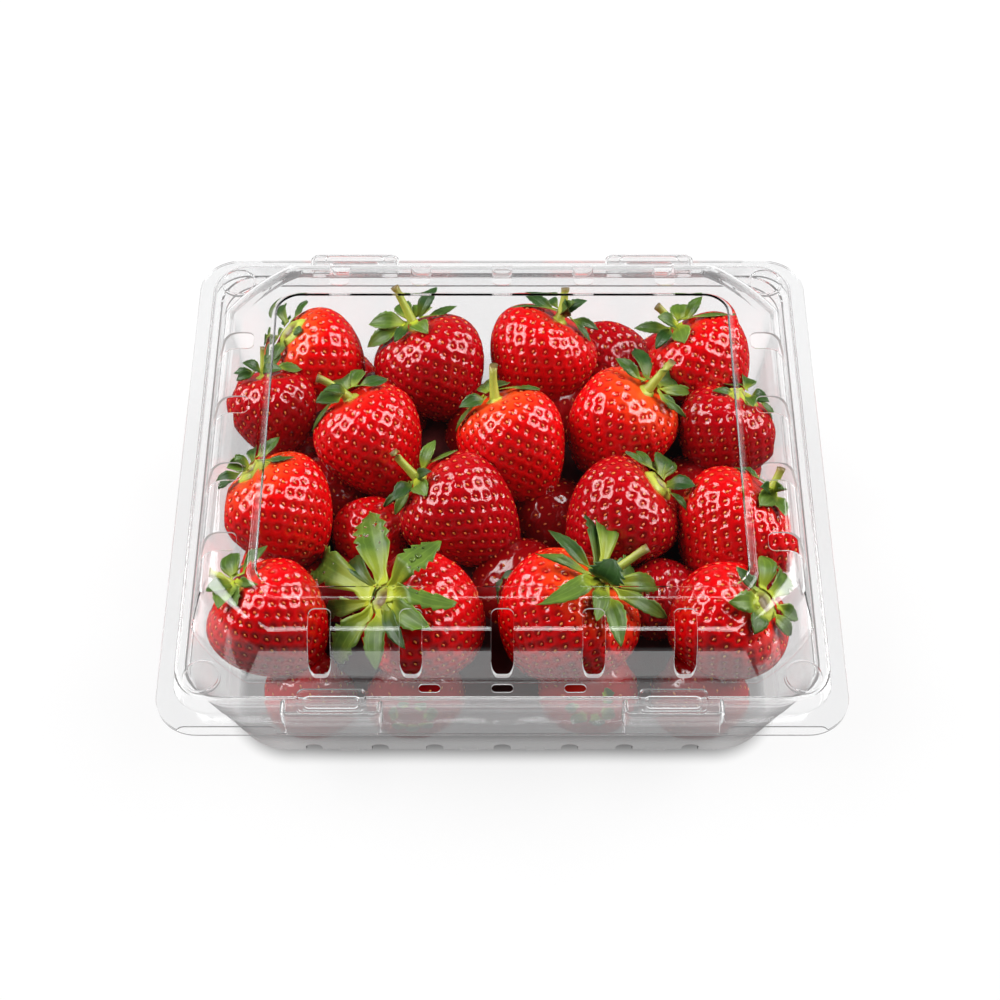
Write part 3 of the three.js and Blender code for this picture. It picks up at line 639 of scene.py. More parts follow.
class Berry:
    """The shape of one berry round its own axis: the stalk end up, the tip down."""

    def __init__(self, spot, number):
        self.spot = spot
        self.number = number
        self.width = spot["width"]
        self.length = spot["width"] * spot["long"]
        self.point = spot["point"]
        self.draw = np.random.default_rng(number)
        self.squash = self.draw.uniform(0.02, 0.06)
        self.squash_at = self.draw.uniform(0, 2 * math.pi)
        self.lobes = [(count, self.draw.uniform(0, 2 * math.pi), self.draw.uniform(0.006, 0.018))
                      for count in (3, 4, 5)]
        self.turn = axis_turn(spot["azimuth"], spot["rise"])
        self.tilt = np.array(self.turn)
        self.place = np.array([spot["x"], spot["y"], spot["z"]])
        self.axis = self.turn @ Vector((0, 0, 1))
        self.root = Vector(self.place) + self.axis * (self.length / 2 - HOLLOW)
        self.fine = np.linspace(0, 1, 600)
        reach = self.reach(self.fine)
        line = np.stack([reach, self.length * (0.5 - self.fine)], axis=-1)
        steps = np.linalg.norm(np.diff(line, axis=0), axis=1)
        self.arc = np.concatenate([[0], np.cumsum(steps)])
        self.area = np.concatenate([[0], np.cumsum(steps * np.pi * (reach[1:] + reach[:-1]))])

    def reach(self, share):
        """How far the skin is from the axis, before it swells unevenly."""
        return berry_radius(share, self.point) * self.width / 2

    def surface(self, share, angle):
        """Points of the smooth skin at shares of the length and angles round the axis."""
        reach = self.reach(share)
        swell = 1 + self.squash * np.cos(2 * angle + self.squash_at)
        for count, phase, size in self.lobes:
            swell = swell + size * np.cos(count * angle + phase + 3 * share) * np.sin(math.pi * share)
        hollow = HOLLOW * np.exp(-(reach / (0.2 * self.width)) ** 2)
        z = self.length * (0.5 - share) - hollow * (share < WIDEST_AT)
        return np.stack([np.cos(angle) * reach * swell, np.sin(angle) * reach * swell, z], axis=-1)

    def normals(self, share, angle):
        step = 1e-3
        share = np.clip(share, 2 * step, 1 - 2 * step)
        along = self.surface(share + step, angle) - self.surface(share - step, angle)
        around = self.surface(share, angle + step) - self.surface(share, angle - step)
        return unit(np.cross(along, around))

    def spiral(self, spacing, jitter):
        """Shares and angles on a spiral that spreads points evenly over the skin."""
        count = int(self.area[-1] / (spacing * spacing * 0.87))
        wanted = (np.arange(count) + 0.5) / count
        share = np.interp(wanted, self.area / self.area[-1], self.fine)
        angle = np.arange(count) * math.pi * (3 - math.sqrt(5))
        return (np.clip(share + self.draw.normal(0, jitter, count) / self.length, 0.002, 0.998),
                angle + self.draw.normal(0, jitter, count) / (self.width / 2))

    def shifted(self, share, angle, along, around):
        """Shares and angles at distances along and around the skin from given ones."""
        arc = np.interp(share, self.fine, self.arc) + along
        over = arc < 0
        beyond = arc > self.arc[-1]
        arc = np.where(over, -arc, np.where(beyond, 2 * self.arc[-1] - arc, arc))
        moved = angle + around / np.maximum(self.reach(share), 0.8) + np.where(over | beyond, math.pi, 0)
        return np.interp(arc, self.arc, self.fine), moved

    def ball(self, share, angle):
        """The same points on a unit ball, where their triangles are found."""
        polar = np.interp(share, self.fine, self.arc) / self.arc[-1] * math.pi
        flat = np.sin(polar)
        return np.stack([flat * np.cos(angle), flat * np.sin(angle), np.cos(polar)], axis=-1)

    def placed(self, points):
        """Points round the berry's own axis, moved to where it lies."""
        return points @ self.tilt.T + self.place

    def off_the_flesh(self, points, clearance):
        """Lifts points that would lie in the berry's flesh onto its skin."""
        local = (points - self.place) @ self.tilt
        middle = self.length * (0.5 - WIDEST_AT)
        high = local[:, 2] - middle
        height = np.where(high > 0, self.length * WIDEST_AT, self.length * (1 - WIDEST_AT)) + clearance
        around = np.hypot(local[:, 0], local[:, 1]) / (self.width / 2 * 1.02 + clearance)
        level = around ** 2 + (np.abs(high) / height) ** 2.3
        push = np.where(level < 1, np.maximum(level, 1e-3) ** (-1 / 2.15), 1)
        local[:, 0] *= push
        local[:, 1] *= push
        local[:, 2] = middle + high * push
        return self.placed(local)


def axis_turn(azimuth, rise):
    """The rotation that points +Z along azimuth and rise."""
    around = Matrix.Rotation(math.radians(azimuth), 4, "Z")
    return (around @ Matrix.Rotation(math.radians(90 - rise), 4, "Y")).to_3x3()


def hull_faces(ball):
    """The triangles between points on a ball, facing outward, by the points' numbers."""
    shape = bmesh.new()
    verts = [shape.verts.new(point) for point in ball.tolist()]
    for number, vert in enumerate(verts):
        vert.index = number
    bmesh.ops.convex_hull(shape, input=verts, use_existing_faces=False)
    faces = np.array([[v.index for v in face.verts] for face in shape.faces])
    shape.free()
    a, b, c = (ball[faces[:, i]] for i in range(3))
    inward = np.sum(np.cross(b - a, c - a) * (a + b + c), axis=1) < 0
    faces[inward] = faces[inward][:, ::-1]
    return faces.tolist()


def make_body(name, berry, rings, between):
    """The flesh of one berry with a pit round each seed, and the seeds' places and directions."""
    seed_share, seed_angle = berry.spiral(SEED_SPACING, SEED_JITTER)
    keep = (seed_share > SEEDS_FROM) & (seed_share < SEEDS_TO)
    seed_share, seed_angle = seed_share[keep], seed_angle[keep]
    shares, angles, depths = [], [], []
    for around, along, depth, count in rings:
        turn = np.arange(count) / count * 2 * math.pi + (count % 2)
        share, angle = berry.shifted(seed_share[:, None], seed_angle[:, None],
                                     along * np.cos(turn)[None, :], around * np.sin(turn)[None, :])
        shares.append(share.ravel())
        angles.append((angle + np.zeros_like(share)).ravel())
        depths.append(np.full(share.size, depth))
    share, angle = berry.spiral(between, BETWEEN_JITTER)
    seeds = berry.surface(seed_share, seed_angle)
    skin = berry.surface(share, angle)
    gap = np.concatenate([np.linalg.norm(part[:, None] - seeds[None], axis=2).min(axis=1)
                          for part in np.array_split(skin, 8)])
    free = gap > BETWEEN_CLEAR
    shares.append(share[free])
    angles.append(angle[free])
    depths.append(-BETWEEN_BULGE * np.clip(gap[free] - BETWEEN_CLEAR, 0, 1))
    share, angle, depth = np.concatenate(shares), np.concatenate(angles), np.concatenate(depths)
    points = berry.surface(share, angle) - berry.normals(share, angle) * depth[:, None]
    body = object_from(name, keep_inside(berry.placed(points)), hull_faces(berry.ball(share, angle)))
    give_values(body, "share", share)
    # How deep each point lies in a pit, for the pits' painted shade
    give_values(body, "pit", np.clip(depth / PIT_SHADE_DEPTH, 0, 1))
    outward = berry.normals(seed_share, seed_angle)
    toward_tip = berry.surface(np.clip(seed_share + 0.01, 0, 1), seed_angle) - seeds
    return body, (berry, seeds, outward, toward_tip)


def seed_shape(rings=3, sides=5):
    """A small tear-shaped seed along X, its flat underneath at z 0."""
    points = []
    for ring in range(1, rings):
        share = ring / rings
        reach = math.sin(math.pi * share) ** 0.8 * (1.15 - 0.4 * share)
        for angle in turns(sides):
            points.append(((share - 0.5) * SEED["long"], math.cos(angle) * reach * SEED["wide"] / 2,
                           math.sin(angle) * reach * SEED["thick"] / 2))
    points += [(-SEED["long"] / 2, 0, 0), (SEED["long"] / 2, 0, 0)]
    faces = tube_faces(rings - 1, sides)
    first, last = len(points) - 2, len(points) - 1
    base = (rings - 2) * sides
    for side in range(sides):
        other = (side + 1) % sides
        faces.append((first, other, side))
        faces.append((last, base + side, base + other))
    return np.array(points), faces


def seed_points(shape, berry, seeds, outward, toward_tip):
    """Copies of the seed shape at every pit of one berry."""
    along = unit(toward_tip - outward * np.sum(toward_tip * outward, axis=1, keepdims=True))
    ways = (along, np.cross(outward, along), outward)
    centre = seeds - outward * SEED["sunk"]
    spread = sum(shape[None, :, i:i + 1] * way[:, None] for i, way in enumerate(ways))
    return keep_inside(berry.placed((centre[:, None] + spread).reshape(-1, 3)))


def make_seeds(name, pits):
    """The seeds of many berries as one piece."""
    shape, shape_faces = seed_shape()
    points = np.concatenate([seed_points(shape, *pit) for pit in pits])
    faces = []
    for first in range(0, len(points), len(shape)):
        faces += [tuple(corner + first for corner in face) for face in shape_faces]
    return object_from(name, points, faces)


def keep_inside(points):
    """Presses what would reach through the shut pack's walls back inside them."""
    points = np.array(points)
    points[:, 2] = np.clip(points[:, 2], ROOM["floor"], ROOM["top"])
    half_x = np.interp(points[:, 2], ROOM["heights"], ROOM["half_x"])
    half_y = np.interp(points[:, 2], ROOM["heights"], ROOM["half_y"])
    points[:, 0] = np.clip(points[:, 0], -half_x, half_x)
    points[:, 1] = np.clip(points[:, 1], -half_y, half_y)
    past_x = np.abs(points[:, 0]) - (half_x - ROOM["corner"])
    past_y = np.abs(points[:, 1]) - (half_y - ROOM["corner"])
    over = past_x + past_y - ROOM["cut"]
    push = np.where(over > 0, over / 2, 0)
    points[:, 0] -= np.sign(points[:, 0]) * push
    points[:, 1] -= np.sign(points[:, 1]) * push
    return points


def picture_direction(right, up, toward=0):
    """A direction in space that points right and up in the picture, and toward the camera."""
    back, high = math.cos(VIEW_PITCH), math.sin(VIEW_PITCH)
    return Vector((right, up * high - toward * back, up * back + toward * high))


def leaf_reach(right, up, berry):
    """The vector from a crown's middle to a leaf's tip that the picture shows at right and up."""
    flat = math.hypot(right, up)
    toward_axis = berry.axis.dot(picture_direction(0, 0, 1))
    if toward_axis > 0.35:
        toward = -berry.axis.dot(picture_direction(right, up)) / toward_axis
        toward = max(-1.3 * flat, min(1.3 * flat, toward + 0.12 * flat))
    else:
        toward = math.sqrt(max((0.36 * berry.width) ** 2 - flat ** 2, 0)) * (1 if up < 5 else -1)
    return picture_direction(right, up, toward)


def leaf_points(reach, wide, axis, lift, draw, start):
    """One leaf of a crown: widest beyond its middle, toothed near its tip, folded and wavy."""
    length = reach.length
    ahead = reach.normalized()
    face = axis * 0.6 + picture_direction(0, 0, 1)
    normal = (face - ahead * face.dot(ahead)).normalized()
    side = normal.cross(ahead)
    form = BROAD_LEAF if wide > BROAD_FROM else NARROW_LEAF
    phase, waves = draw.uniform(0, 6.28), draw.uniform(0.015, 0.04)
    sway, fold, tooth_start = draw.uniform(-0.12, 0.12), draw.uniform(0.15, 0.4), draw.uniform(0, 1)
    points = []
    for i in range(LEAF_ROWS):
        s = i / (LEAF_ROWS - 1)
        outline = max(math.sin(math.pi * s ** form["far"]), 0) ** form["slim"]
        outline = max(outline, LEAF_ROOT * (1 - s))
        if i == LEAF_ROWS - 1:
            outline = form["end"]
        for j in range(LEAF_COLUMNS):
            c = 2 * j / (LEAF_COLUMNS - 1) - 1
            tooth = (s / TOOTH_LENGTH + tooth_start + 0.5 * (c > 0)) % 1 * form["tooth"] * (s > 0.5)
            half = outline * wide / 2 * (1 - tooth * c * c)
            wave = waves * length * math.sin(6 * s + phase + 2 * c) * abs(c)
            up = lift * length * math.sin(math.pi * s) + fold * abs(c) * half + wave
            beside = c * half + sway * length * s * s
            points.append(ahead * (start + (length - start) * s) + side * beside + normal * up)
    return np.array([tuple(p) for p in points])


def make_crown(name, berry):
    """The leaves of one berry's crown, as one thin piece, and the places of the drops on them."""
    leaves = berry.spot["leaves"]
    draw = np.random.default_rng(CROWN_DRAWS + berry.number)
    start = LEAF_START["stalk" if "stalk" in berry.spot else "hollow"]
    points, faces = [], []
    for number, (right, up, wide, _, *raised) in enumerate(leaves):
        reach = leaf_reach(right * PHOTO_MM, up * PHOTO_MM, berry)
        lift = draw.uniform(0.08, 0.2)
        if raised:
            lift, toward = raised
            reach = picture_direction(right, up, toward * math.hypot(right, up)) * PHOTO_MM
        leaf = leaf_points(reach, wide * PHOTO_MM * LEAF_WIDER, berry.axis, lift, draw, start)
        layer = number % 3
        leaf = leaf + np.array(berry.root + berry.axis * (0.2 + 0.22 * layer))
        points.append(berry.off_the_flesh(leaf, 0.5 + 0.3 * layer))
        for row in range(LEAF_ROWS - 1):
            for column in range(LEAF_COLUMNS - 1):
                a = number * len(leaf) + row * LEAF_COLUMNS + column
                faces.append((a, a + LEAF_COLUMNS, a + LEAF_COLUMNS + 1, a + 1))
    whole = keep_inside(np.concatenate(points))
    crown = object_from(name, whole, faces)
    along = np.repeat(np.arange(LEAF_ROWS) / (LEAF_ROWS - 1), LEAF_COLUMNS)
    across = np.tile(2 * np.arange(LEAF_COLUMNS) / (LEAF_COLUMNS - 1) - 1, LEAF_ROWS)
    give_values(crown, "along", np.tile(along, len(leaves)))
    give_values(crown, "across", np.tile(across, len(leaves)))
    give_values(crown, "pale", np.repeat([leaf[3] for leaf in leaves], len(along)))
    thicken = crown.modifiers.new("thickness", "SOLIDIFY")
    thicken.thickness = LEAF_THICK * MM
    thicken.offset = 0
    return crown, [drop_on(whole, *drop) for drop in berry.spot.get("drops", ())]


def drop_on(leaves, number, share, across, radius):
    """Where a drop lies on a leaf, the way that the leaf faces there, and the drop's radius."""
    row = round(share * (LEAF_ROWS - 1))
    column = round((across + 1) / 2 * (LEAF_COLUMNS - 1))
    grid = leaves.reshape(-1, LEAF_ROWS, LEAF_COLUMNS, 3)[number]
    ahead = Vector(grid[row + 1, column] - grid[row - 1, column])
    beside = Vector(grid[row, min(column + 1, LEAF_COLUMNS - 1)] - grid[row, max(column - 1, 0)])
    up = ahead.cross(beside).normalized()
    if up.dot(picture_direction(0, 0, 1)) < 0:
        up = -up
    return Vector(grid[row, column]) + up * LEAF_THICK / 2, up, radius


def make_drops(name, drops, rings=6, sides=16):
    """Flat domes of water."""
    points, faces = [], []
    for foot, up, radius in drops:
        side = up.orthogonal().normalized()
        other = up.cross(side)
        start = len(points)
        for ring in range(rings):
            angle = ring / rings * math.pi / 2
            for turn in turns(sides):
                out = (side * math.cos(turn) + other * math.sin(turn)) * math.cos(angle) * radius
                points.append(foot + out + up * math.sin(angle) * radius * DROP_HEIGHT)
        points.append(foot + up * radius * DROP_HEIGHT)
        faces += tube_faces(rings, sides, start)
        top, last = len(points) - 1, start + (rings - 1) * sides
        faces += [(last + i, last + (i + 1) % sides, top) for i in range(sides)]
        faces.append(tuple(range(start + sides - 1, start - 1, -1)))
    return object_from(name, points, faces)


def make_calyx(name, berry, sides=20):
    """The green disc that a crown's leaves grow from, with a brown hollow where no stalk is left."""
    profile = CALYX if "stalk" in berry.spot else HOLLOW_CALYX
    points = []
    for radius, height, _ in profile:
        for angle in turns(sides):
            reach = radius * (1 + 0.08 * math.cos(5 * angle) + 0.05 * math.cos(3 * angle + 1))
            offset = Vector((math.cos(angle) * reach, math.sin(angle) * reach, height))
            points.append(berry.root + berry.turn @ offset)
    calyx = object_from(name, keep_inside(points), tube_faces(len(profile), sides, capped=True))
    give_values(calyx, "along", np.repeat([tint for _, _, tint in profile], sides))
    return calyx


def make_stalk(name, berry, sides=12, steps=9):
    """A bent, tapered stalk from the crown's middle, cut off at its end."""
    root = berry.root - berry.axis * STALK["sunk"]
    right, up = (value * PHOTO_MM * STALK["longer"] for value in berry.spot["stalk"])
    toward = max(-0.5, min(0.3, berry.axis.dot(picture_direction(0, 0, 1)))) * math.hypot(right, up)
    end = root + picture_direction(right, up, toward)
    bend = (root + end) / 2 + berry.axis * (end - root).length * STALK["bend"]
    points = []
    for step in range(steps + 1):
        share = step / steps
        first, second = root.lerp(bend, share), bend.lerp(end, share)
        heading = (second - first).normalized()
        radius = STALK["radius"] + STALK["foot"] * (1 - share) ** 4 + STALK["cut"] * share ** 6
        side = heading.orthogonal().normalized()
        other = heading.cross(side)
        for angle in turns(sides):
            reach = radius * (1 + 0.06 * math.cos(3 * angle))
            out = (side * math.cos(angle) + other * math.sin(angle)) * reach
            points.append(first.lerp(second, share) + out)
    stalk = object_from(name, keep_inside(points), tube_faces(steps + 1, sides, capped=True))
    give_values(stalk, "along", np.repeat(np.arange(steps + 1) / steps, sides))
    return stalk


def lower_places():
    """Where the berries of the lower layer lie: in a ring along the tub's walls."""
    base, foot = TUB_RINGS[1], TUB_RINGS[2]
    share = LOWER["z"] / TUB_HEIGHT
    far_x = foot["half_x"] + (base["half_x"] - foot["half_x"]) * share - LOWER["inset_x"]
    far_y = foot["half_y"] + (base["half_y"] - foot["half_y"]) * share - LOWER["inset_y"]
    places = []
    for side in (-1, 1):
        places += [(x, side * far_y) for x in LOWER["along_x"]]
        places += [(side * far_x, y) for y in LOWER["along_y"]]
    return places


def hidden_spots():
    """The berries of the lower layer and those deep in the heap."""
    draw = np.random.default_rng(LOWER_DRAWS)
    spots = []
    for number, (x, y) in enumerate(lower_places()):
        spot = dict(x=x, y=y, z=LOWER["z"], azimuth=draw.uniform(0, 360), rise=draw.uniform(-25, 25),
                    width=LOWER["width"] * draw.uniform(0.9, 0.98), long=LOWER["long"], point=0.3,
                    tone=("bright", "deep")[number % 2])
        spots.append(spot | LOWER_FRONT.get(x, {}) if y < 0 else spot)
    for number, (x, y, z, width, azimuth) in enumerate(DEEP_BERRIES):
        spot = dict(DEEP_SHAPE, x=x, y=y, z=z, width=width, azimuth=azimuth)
        spots.append(spot | DEEP_CROWN.get(number, {}))
    return spots


def make_shade_core():
    ring = dict(half_x=SHADE_CORE["half_x"], half_y=SHADE_CORE["half_y"], corner=SHADE_CORE["corner"], flat=0)
    core = loft([dict(ring, z=SHADE_CORE["bottom"]), dict(ring, z=SHADE_CORE["top"])], middle=(0, SHADE_CORE["y"]))
    core.name = "painted_shade_core"
    return core


def in_the_heap(piece, material):
    """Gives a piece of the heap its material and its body."""
    piece.data.materials.append(material)
    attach(piece, "tub")
    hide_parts("berries")


def make_heap():
    """All berries with their seeds, crowns and stalks, and the dark block of painted shade under them."""
    flesh = {tone: flesh_material(tone) for tone in FLESH}
    leaf, stem, water = leaf_material(), stalk_material(), water_material()
    top_pits, lower_pits = [], []
    for number, (name, spot) in enumerate(TOP_BERRIES.items()):
        berry = Berry(spot, number)
        body, pits = make_body(f"berry_{name}", berry, PIT_RINGS, BETWEEN_SPACING)
        in_the_heap(body, flesh[spot["tone"]])
        top_pits.append(pits)
        if "leaves" in spot:
            crown, drops = make_crown(f"crown_{name}", berry)
            in_the_heap(crown, leaf)
            in_the_heap(make_calyx(f"calyx_{name}", berry), stem)
            if drops:
                in_the_heap(make_drops(f"water_drops_{name}", drops), water)
        if "stalk" in spot:
            in_the_heap(make_stalk(f"stalk_{name}", berry), stem)
    for number, spot in enumerate(hidden_spots()):
        berry = Berry(spot, HIDDEN_DRAWS + number)
        body, pits = make_body(f"lower_berry_{number}", berry, LOWER_PIT_RINGS, LOWER_BETWEEN_SPACING)
        in_the_heap(body, flesh[spot["tone"]])
        lower_pits.append(pits)
        if "leaves" in spot:
            crown, _ = make_crown(f"crown_lower_{number}", berry)
            in_the_heap(crown, leaf)
    seed = seed_material()
    for name, pits in (("seeds_top", top_pits), ("seeds_lower", lower_pits)):
        in_the_heap(make_seeds(name, pits), seed)
    in_the_heap(make_shade_core(), shade_core_material())


def make_pack():
    tub, lid = make_tub(), make_lid()
    for piece, body, slot, haze, blur in (
            (tub, "tub", "clear_tub", TUB_HAZE, TUB_BLUR), (lid, "lid", "clear_lid", LID_HAZE, LID_BLUR)):
        piece.data.materials.clear()
        piece.data.materials.append(plastic_material(slot, haze, blur))
        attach(piece, body)
        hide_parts(body)
    return tub, lid


def colour_with_alpha(value):
    """A colour as a socket takes it, from a colour or from one number for a grey."""
    return (*value, 1) if isinstance(value, tuple) else (value, value, value, 1)


class Nodes:
    """A material's or a world's node tree, with short ways to add to it."""

    def __init__(self, name, world=False):
        self.material = (bpy.data.worlds if world else bpy.data.materials).new(name)
        self.material.use_nodes = True
        self.tree = self.material.node_tree
        self.tree.nodes.clear()
        self.out = self.add("OutputWorld" if world else "OutputMaterial")

    def add(self, kind, inputs=None, **settings):
        """A node with its settings, and with its inputs linked or set to a number or colour."""
        node = self.tree.nodes.new("ShaderNode" + kind)
        for key, value in settings.items():
            setattr(node, key, value)
        for key, value in (inputs or {}).items():
            socket = node.inputs[key]
            if not isinstance(value, (int, float, tuple)):
                self.tree.links.new(value, socket)
            elif socket.type == "RGBA":
                socket.default_value = colour_with_alpha(value)
            else:
                socket.default_value = value
        return node

    def named(self, kind, values, **settings):
        """A node whose inputs are named with _ in place of spaces."""
        return self.add(kind, {key.replace("_", " "): value for key, value in values.items()}, **settings)

    def shader(self, kind, **values):
        return self.named(kind, values).outputs[0]

    def skin(self, **values):
        return self.shader("BsdfPrincipled", **values)

    def finish(self, shader):
        self.tree.links.new(shader, self.out.inputs["Surface"])
        return self.material

    def mix_shaders(self, factor, first, second):
        return self.add("MixShader", {0: factor, 1: first, 2: second}).outputs[0]

    def maths(self, operation, *values, **settings):
        return self.add("Math", dict(enumerate(values)), operation=operation, **settings).outputs[0]

    def vector_maths(self, operation, *values):
        return self.add("VectorMath", dict(enumerate(values)), operation=operation).outputs[0]

    def length(self, vector):
        return self.add("VectorMath", {0: vector}, operation="LENGTH").outputs["Value"]

    def map_range(self, value, limits, **settings):
        return self.named("MapRange", {"Value": value, **limits}, **settings).outputs["Result"]

    def position(self):
        return self.add("NewGeometry").outputs["Position"]

    def height(self, coordinates):
        place = self.add("TexCoord").outputs[coordinates]
        return self.add("SeparateXYZ", {"Vector": place}).outputs["Z"]

    def light_path(self, ray):
        return self.add("LightPath").outputs[f"Is {ray} Ray"]

    def attribute(self, name):
        return self.add("Attribute", attribute_name=name).outputs["Fac"]

    def noise(self, scale, detail):
        place = self.add("TexCoord").outputs["Object"]
        return self.add("TexNoise", {"Scale": scale, "Detail": detail, "Vector": place}).outputs["Fac"]

    def ramp(self, source, stops):
        ramp = self.add("ValToRGB", {"Fac": source})
        while len(ramp.color_ramp.elements) < len(stops):
            ramp.color_ramp.elements.new(0.5)
        for element, (place, colour) in zip(ramp.color_ramp.elements, stops):
            element.position = place
            element.color = colour_with_alpha(colour)
        return ramp.outputs["Color"]

    def mix(self, factor, first, second, kind="MIX"):
        inputs = {"Factor": factor, "A": first, "B": second}
        return self.add("Mix", inputs, data_type="RGBA", blend_type=kind).outputs["Result"]

    def times(self, first, second):
        return self.mix(1.0, first, second, "MULTIPLY")

    def bump(self, height, strength, distance):
        inputs = {"Strength": strength, "Distance": distance, "Height": height}
        return self.add("Bump", inputs).outputs["Normal"]

    def bounced_ray(self):
        """1 for light that comes from a matt or satin surface, but not from clear plastic."""
        clear = self.maths("MAXIMUM", self.light_path("Singular"), self.light_path("Transmission"))
        mirrored = self.maths("SUBTRACT", self.light_path("Glossy"), clear, use_clamp=True)
        return self.maths("MAXIMUM", self.light_path("Diffuse"), mirrored)


def flesh_material(tone):
    """Glossy berry skin: its shoulder colour fades out down the berry, and its pits get painted shade."""
    main, shoulder, shade, reach = FLESH[tone]
    nodes = Nodes(f"flesh_{tone}")
    along = nodes.ramp(nodes.attribute("share"), [(0, shoulder), (reach, main), (1, main)])
    patches = nodes.mix(nodes.noise(45, 4), along, shade)
    # Deeper in a pit the flesh is painted darker: painted shade in the hollows
    pit_shaded = nodes.mix(nodes.attribute("pit"), nodes.mix(0.45, along, patches), tuple(c * 0.8 for c in main))
    return nodes.finish(nodes.skin(
        Base_Color=pit_shaded, Roughness=0.5, Specular_IOR_Level=0.0, Coat_Weight=1.0, Coat_Roughness=0.09,
        Coat_IOR=1.58, Normal=nodes.bump(nodes.noise(900, 2), 0.06, 0.0004)))


def seed_material():
    nodes = Nodes("seed")
    colour = nodes.ramp(nodes.noise(120, 2), [(0.35, (0.62, 0.07, 0.012)), (0.65, (0.8, 0.26, 0.04))])
    return nodes.finish(nodes.skin(Base_Color=colour, Roughness=0.35, Coat_Weight=0.4))


def leaf_material():
    """Green leaf: yellow at the root, with paler veins and edges, and paler where it shows its back."""
    nodes = Nodes("leaf")
    across, pale = nodes.attribute("across"), nodes.attribute("pale")
    green = nodes.mix(pale, (0.02, 0.06, 0.008), (0.085, 0.15, 0.013))
    patches = nodes.ramp(nodes.noise(170, 3), [(0.35, (0.7, 0.75, 0.65)), (0.65, (1.2, 1.15, 1.15))])
    patched = nodes.times(green, patches)
    veins = nodes.maths("PINGPONG", across, 0.25)
    lines = nodes.ramp(veins, [(0, 0.7), (0.07, 0), (1, 0)])
    veined = nodes.mix(lines, patched, nodes.times(patched, (1.8, 1.6, 2.4)))
    rim = nodes.ramp(nodes.maths("ABSOLUTE", across), [(0.86, 0), (1, 0.7)])
    rimmed = nodes.mix(rim, veined, nodes.times(veined, (1.9, 1.7, 2.6)))
    near = nodes.ramp(nodes.attribute("along"), [(0.08, 0.95), (0.48, 0)])
    root = nodes.times(near, nodes.ramp(pale, [(0, 0.4), (0.7, 1)]))
    return nodes.finish(nodes.skin(
        Base_Color=nodes.mix(root, rimmed, (0.4, 0.46, 0.025)), Roughness=0.42, Specular_IOR_Level=0.35,
        Normal=nodes.bump(veins, 0.25, 0.0008)))


def stalk_material():
    nodes = Nodes("stalk")
    colour = nodes.ramp(nodes.attribute("along"), [
        (0, (0.42, 0.46, 0.05)), (0.6, (0.35, 0.4, 0.05)), (0.85, (0.3, 0.27, 0.05)), (1, (0.15, 0.1, 0.03))])
    rough = nodes.bump(nodes.noise(500, 3), 0.2, 0.0005)
    return nodes.finish(nodes.skin(Base_Color=colour, Roughness=0.45, Normal=rough))


def water_material():
    nodes = Nodes("water")
    water = nodes.skin(Roughness=0.0, Transmission_Weight=1.0, IOR=1.33)
    clear = nodes.shader("BsdfTransparent")
    return nodes.finish(nodes.mix_shaders(nodes.light_path("Shadow"), water, clear))


# Very dark red: painted shade for the depths of the heap
def shade_core_material():
    nodes = Nodes("painted_shade_core")
    colour = nodes.ramp(nodes.noise(60, 3), [(0.3, (0.05, 0.001, 0.001)), (0.7, (0.12, 0.002, 0.002))])
    return nodes.finish(nodes.skin(Base_Color=colour, Roughness=0.8))


def plastic_material(name, haze_stops, blur_stops):
    """Clear moulded plastic that lets lamps through. A faint haze with painted glow and a blur grow toward
    its foot.
    """
    nodes = Nodes(name)
    level = nodes.maths("MULTIPLY", nodes.height("Object"), 1 / HAZE_HEIGHT)
    glass = nodes.skin(
        Base_Color=(0.985, 0.988, 0.99), Roughness=nodes.ramp(level, blur_stops), Transmission_Weight=1.0,
        IOR=1.45, Normal=nodes.bump(nodes.noise(40, 2), 0.06, 0.001))
    white, through = (nodes.shader(kind, Color=MILK) for kind in ("BsdfDiffuse", "BsdfTranslucent"))
    milk = nodes.mix_shaders(0.5, white, through)
    # The milk glows: painted light on the haze
    painted_glow = nodes.shader("Emission", Strength=MILK_PAINTED_GLOW)
    milk_with_painted_glow = nodes.add("AddShader", {0: milk, 1: painted_glow}).outputs[0]
    haze = nodes.mix(nodes.attribute("cut"), nodes.ramp(level, haze_stops), CUT_HAZE)
    seen = nodes.mix_shaders(haze, glass, milk_with_painted_glow)
    passing = nodes.maths("MAXIMUM", nodes.light_path("Shadow"), nodes.bounced_ray())
    return nodes.finish(nodes.mix_shaders(passing, seen, nodes.shader("BsdfTransparent")))


def make_floor():
    """A wide pale floor that glows where it is seen and hardly lights what stands on it."""
    corners = [(x * FLOOR_HALF, y * FLOOR_HALF, 0) for x, y in ((-1, -1), (1, -1), (1, 1), (-1, 1))]
    floor = object_from("floor", corners, [(0, 1, 2, 3)])
    nodes = Nodes("floor_white")
    unseen = nodes.map_range(nodes.light_path("Diffuse"), dict(To_Min=FLOOR_GLOSS, To_Max=FLOOR_BOUNCE))
    strength = nodes.map_range(nodes.bounced_ray(), dict(To_Min=FLOOR_GLOW, To_Max=unseen))
    fade = nodes.map_range(nodes.length(nodes.position()), FLOOR_FADE)
    shaded = nodes.maths("MULTIPLY", nodes.maths("MULTIPLY", strength, fade), shade_under_tub(nodes))
    floor.data.materials.append(nodes.finish(nodes.skin(
        Base_Color=0.09, Roughness=0.9, Specular_IOR_Level=0.0, Emission_Color=1, Emission_Strength=shaded)))


def shade_under_tub(nodes):
    """A share that falls where the tub stands on the floor."""
    foot = TUB_RINGS[-1]
    corner = foot["corner"] * MM
    inner = (foot["half_x"] * MM - corner, foot["half_y"] * MM - corner, 0)
    place = nodes.vector_maths("ABSOLUTE", nodes.position())
    over = nodes.vector_maths("MAXIMUM", nodes.vector_maths("SUBTRACT", place, inner), (0, 0, 0))
    distance = nodes.maths("SUBTRACT", nodes.length(over), corner)
    return nodes.map_range(distance, FLOOR_SHADE, interpolation_type="SMOOTHSTEP")


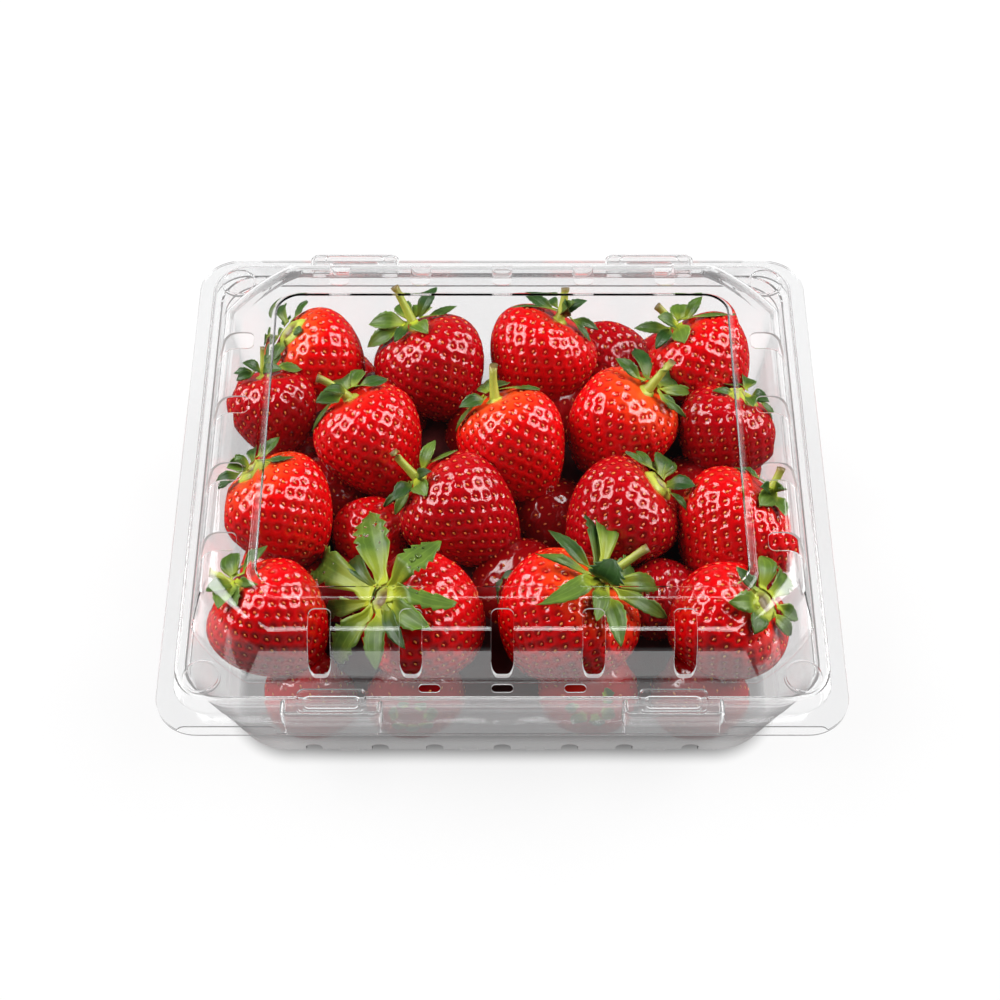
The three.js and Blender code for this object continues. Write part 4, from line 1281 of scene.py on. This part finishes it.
def make_camera():
    camera = bpy.data.cameras.new("camera")
    camera.sensor_width = SENSOR
    camera.lens = FOCAL_PIXELS * SENSOR / PHOTO_SIDE
    camera.clip_end = 50
    holder = in_scene("camera", camera)
    holder.location = Vector(CAMERA_PLACE) * MM
    holder.rotation_euler = (math.pi / 2 - VIEW_PITCH, 0, 0)
    bpy.context.scene.camera = holder


def softbox(name, lit, place, width, height, radiance, target=LIT_MIDDLE, turn=0):
    """A rectangular lamp that only some pieces receive and the camera doesn't see."""
    light = bpy.data.lights.new(name, "AREA")
    light.shape = "RECTANGLE"
    light.size, light.size_y = width, height
    light.energy = radiance * math.pi * width * height
    holder = in_scene(name, light)
    holder.location = place
    facing = (Vector(target) - Vector(place)).to_track_quat("-Z", "Y").to_matrix()
    holder.rotation_euler = (Matrix.Rotation(turn, 3, "Z") @ facing).to_euler()
    holder.visible_camera = False
    holder.light_linking.receiver_collection = lit


def card(name, lit, place, width, height, radiance, turn=0):
    """A lamp that lies on the floor and faces up."""
    softbox(name, lit, place, width, height, radiance, (*place[:2], 1), turn)


def make_world():
    """Dim air, with a brighter band near the horizon, which is pale where it is seen."""
    nodes = Nodes("studio", world=True)
    height = nodes.height("Generated")
    walls = nodes.ramp(height, [(0.05, (0.14, 0.14, 0.144)), (0.5, AIR)])
    behind = nodes.ramp(height, [(0.02, 0.5), (0.35, AIR)])
    air = nodes.shader("Background", Color=nodes.mix(nodes.bounced_ray(), behind, walls))
    bpy.context.scene.world = nodes.finish(air)


def make_lights(shells):
    """Two large lamps at the sides light the heap, and smaller ones are seen only on the plastic."""
    plastic, others = (bpy.data.collections.new(name) for name in ("plastic_only", "all_but_plastic"))
    for piece in bpy.context.scene.objects:
        if piece.type == "MESH":
            (plastic if piece in shells else others).objects.link(piece)
    sides = (("left", -1), ("right", 1))
    for name, side in sides:
        place = (side * 0.735, 0.225, 0.69)
        softbox(f"softbox_{name}", others, place, width=0.84, height=0.8, radiance=8.5)
        softbox(f"glint_{name}", plastic, place, width=0.6, height=0.5, radiance=8)
    softbox("strip_above", plastic, (0, -0.17, 1.25), width=1.5, height=0.3, radiance=7)
    card("card_front", plastic, (0, -0.45, 0.002), width=1.4, height=0.36, radiance=1.6)
    for name, side in sides:
        card(f"card_{name}", plastic, (side * 0.266, -0.147, 0.002), width=0.18, height=0.32, radiance=1.2,
             turn=side * math.radians(-20))


make_camera()
make_heap()
shells = make_pack()
make_floor()
make_world()
make_lights(shells)
scene = bpy.context.scene
scene.view_settings.view_transform = "Standard"
scene.cycles.transparent_max_bounces = 12
scene.cycles.transmission_bounces = 8
scene.cycles.max_bounces = 8
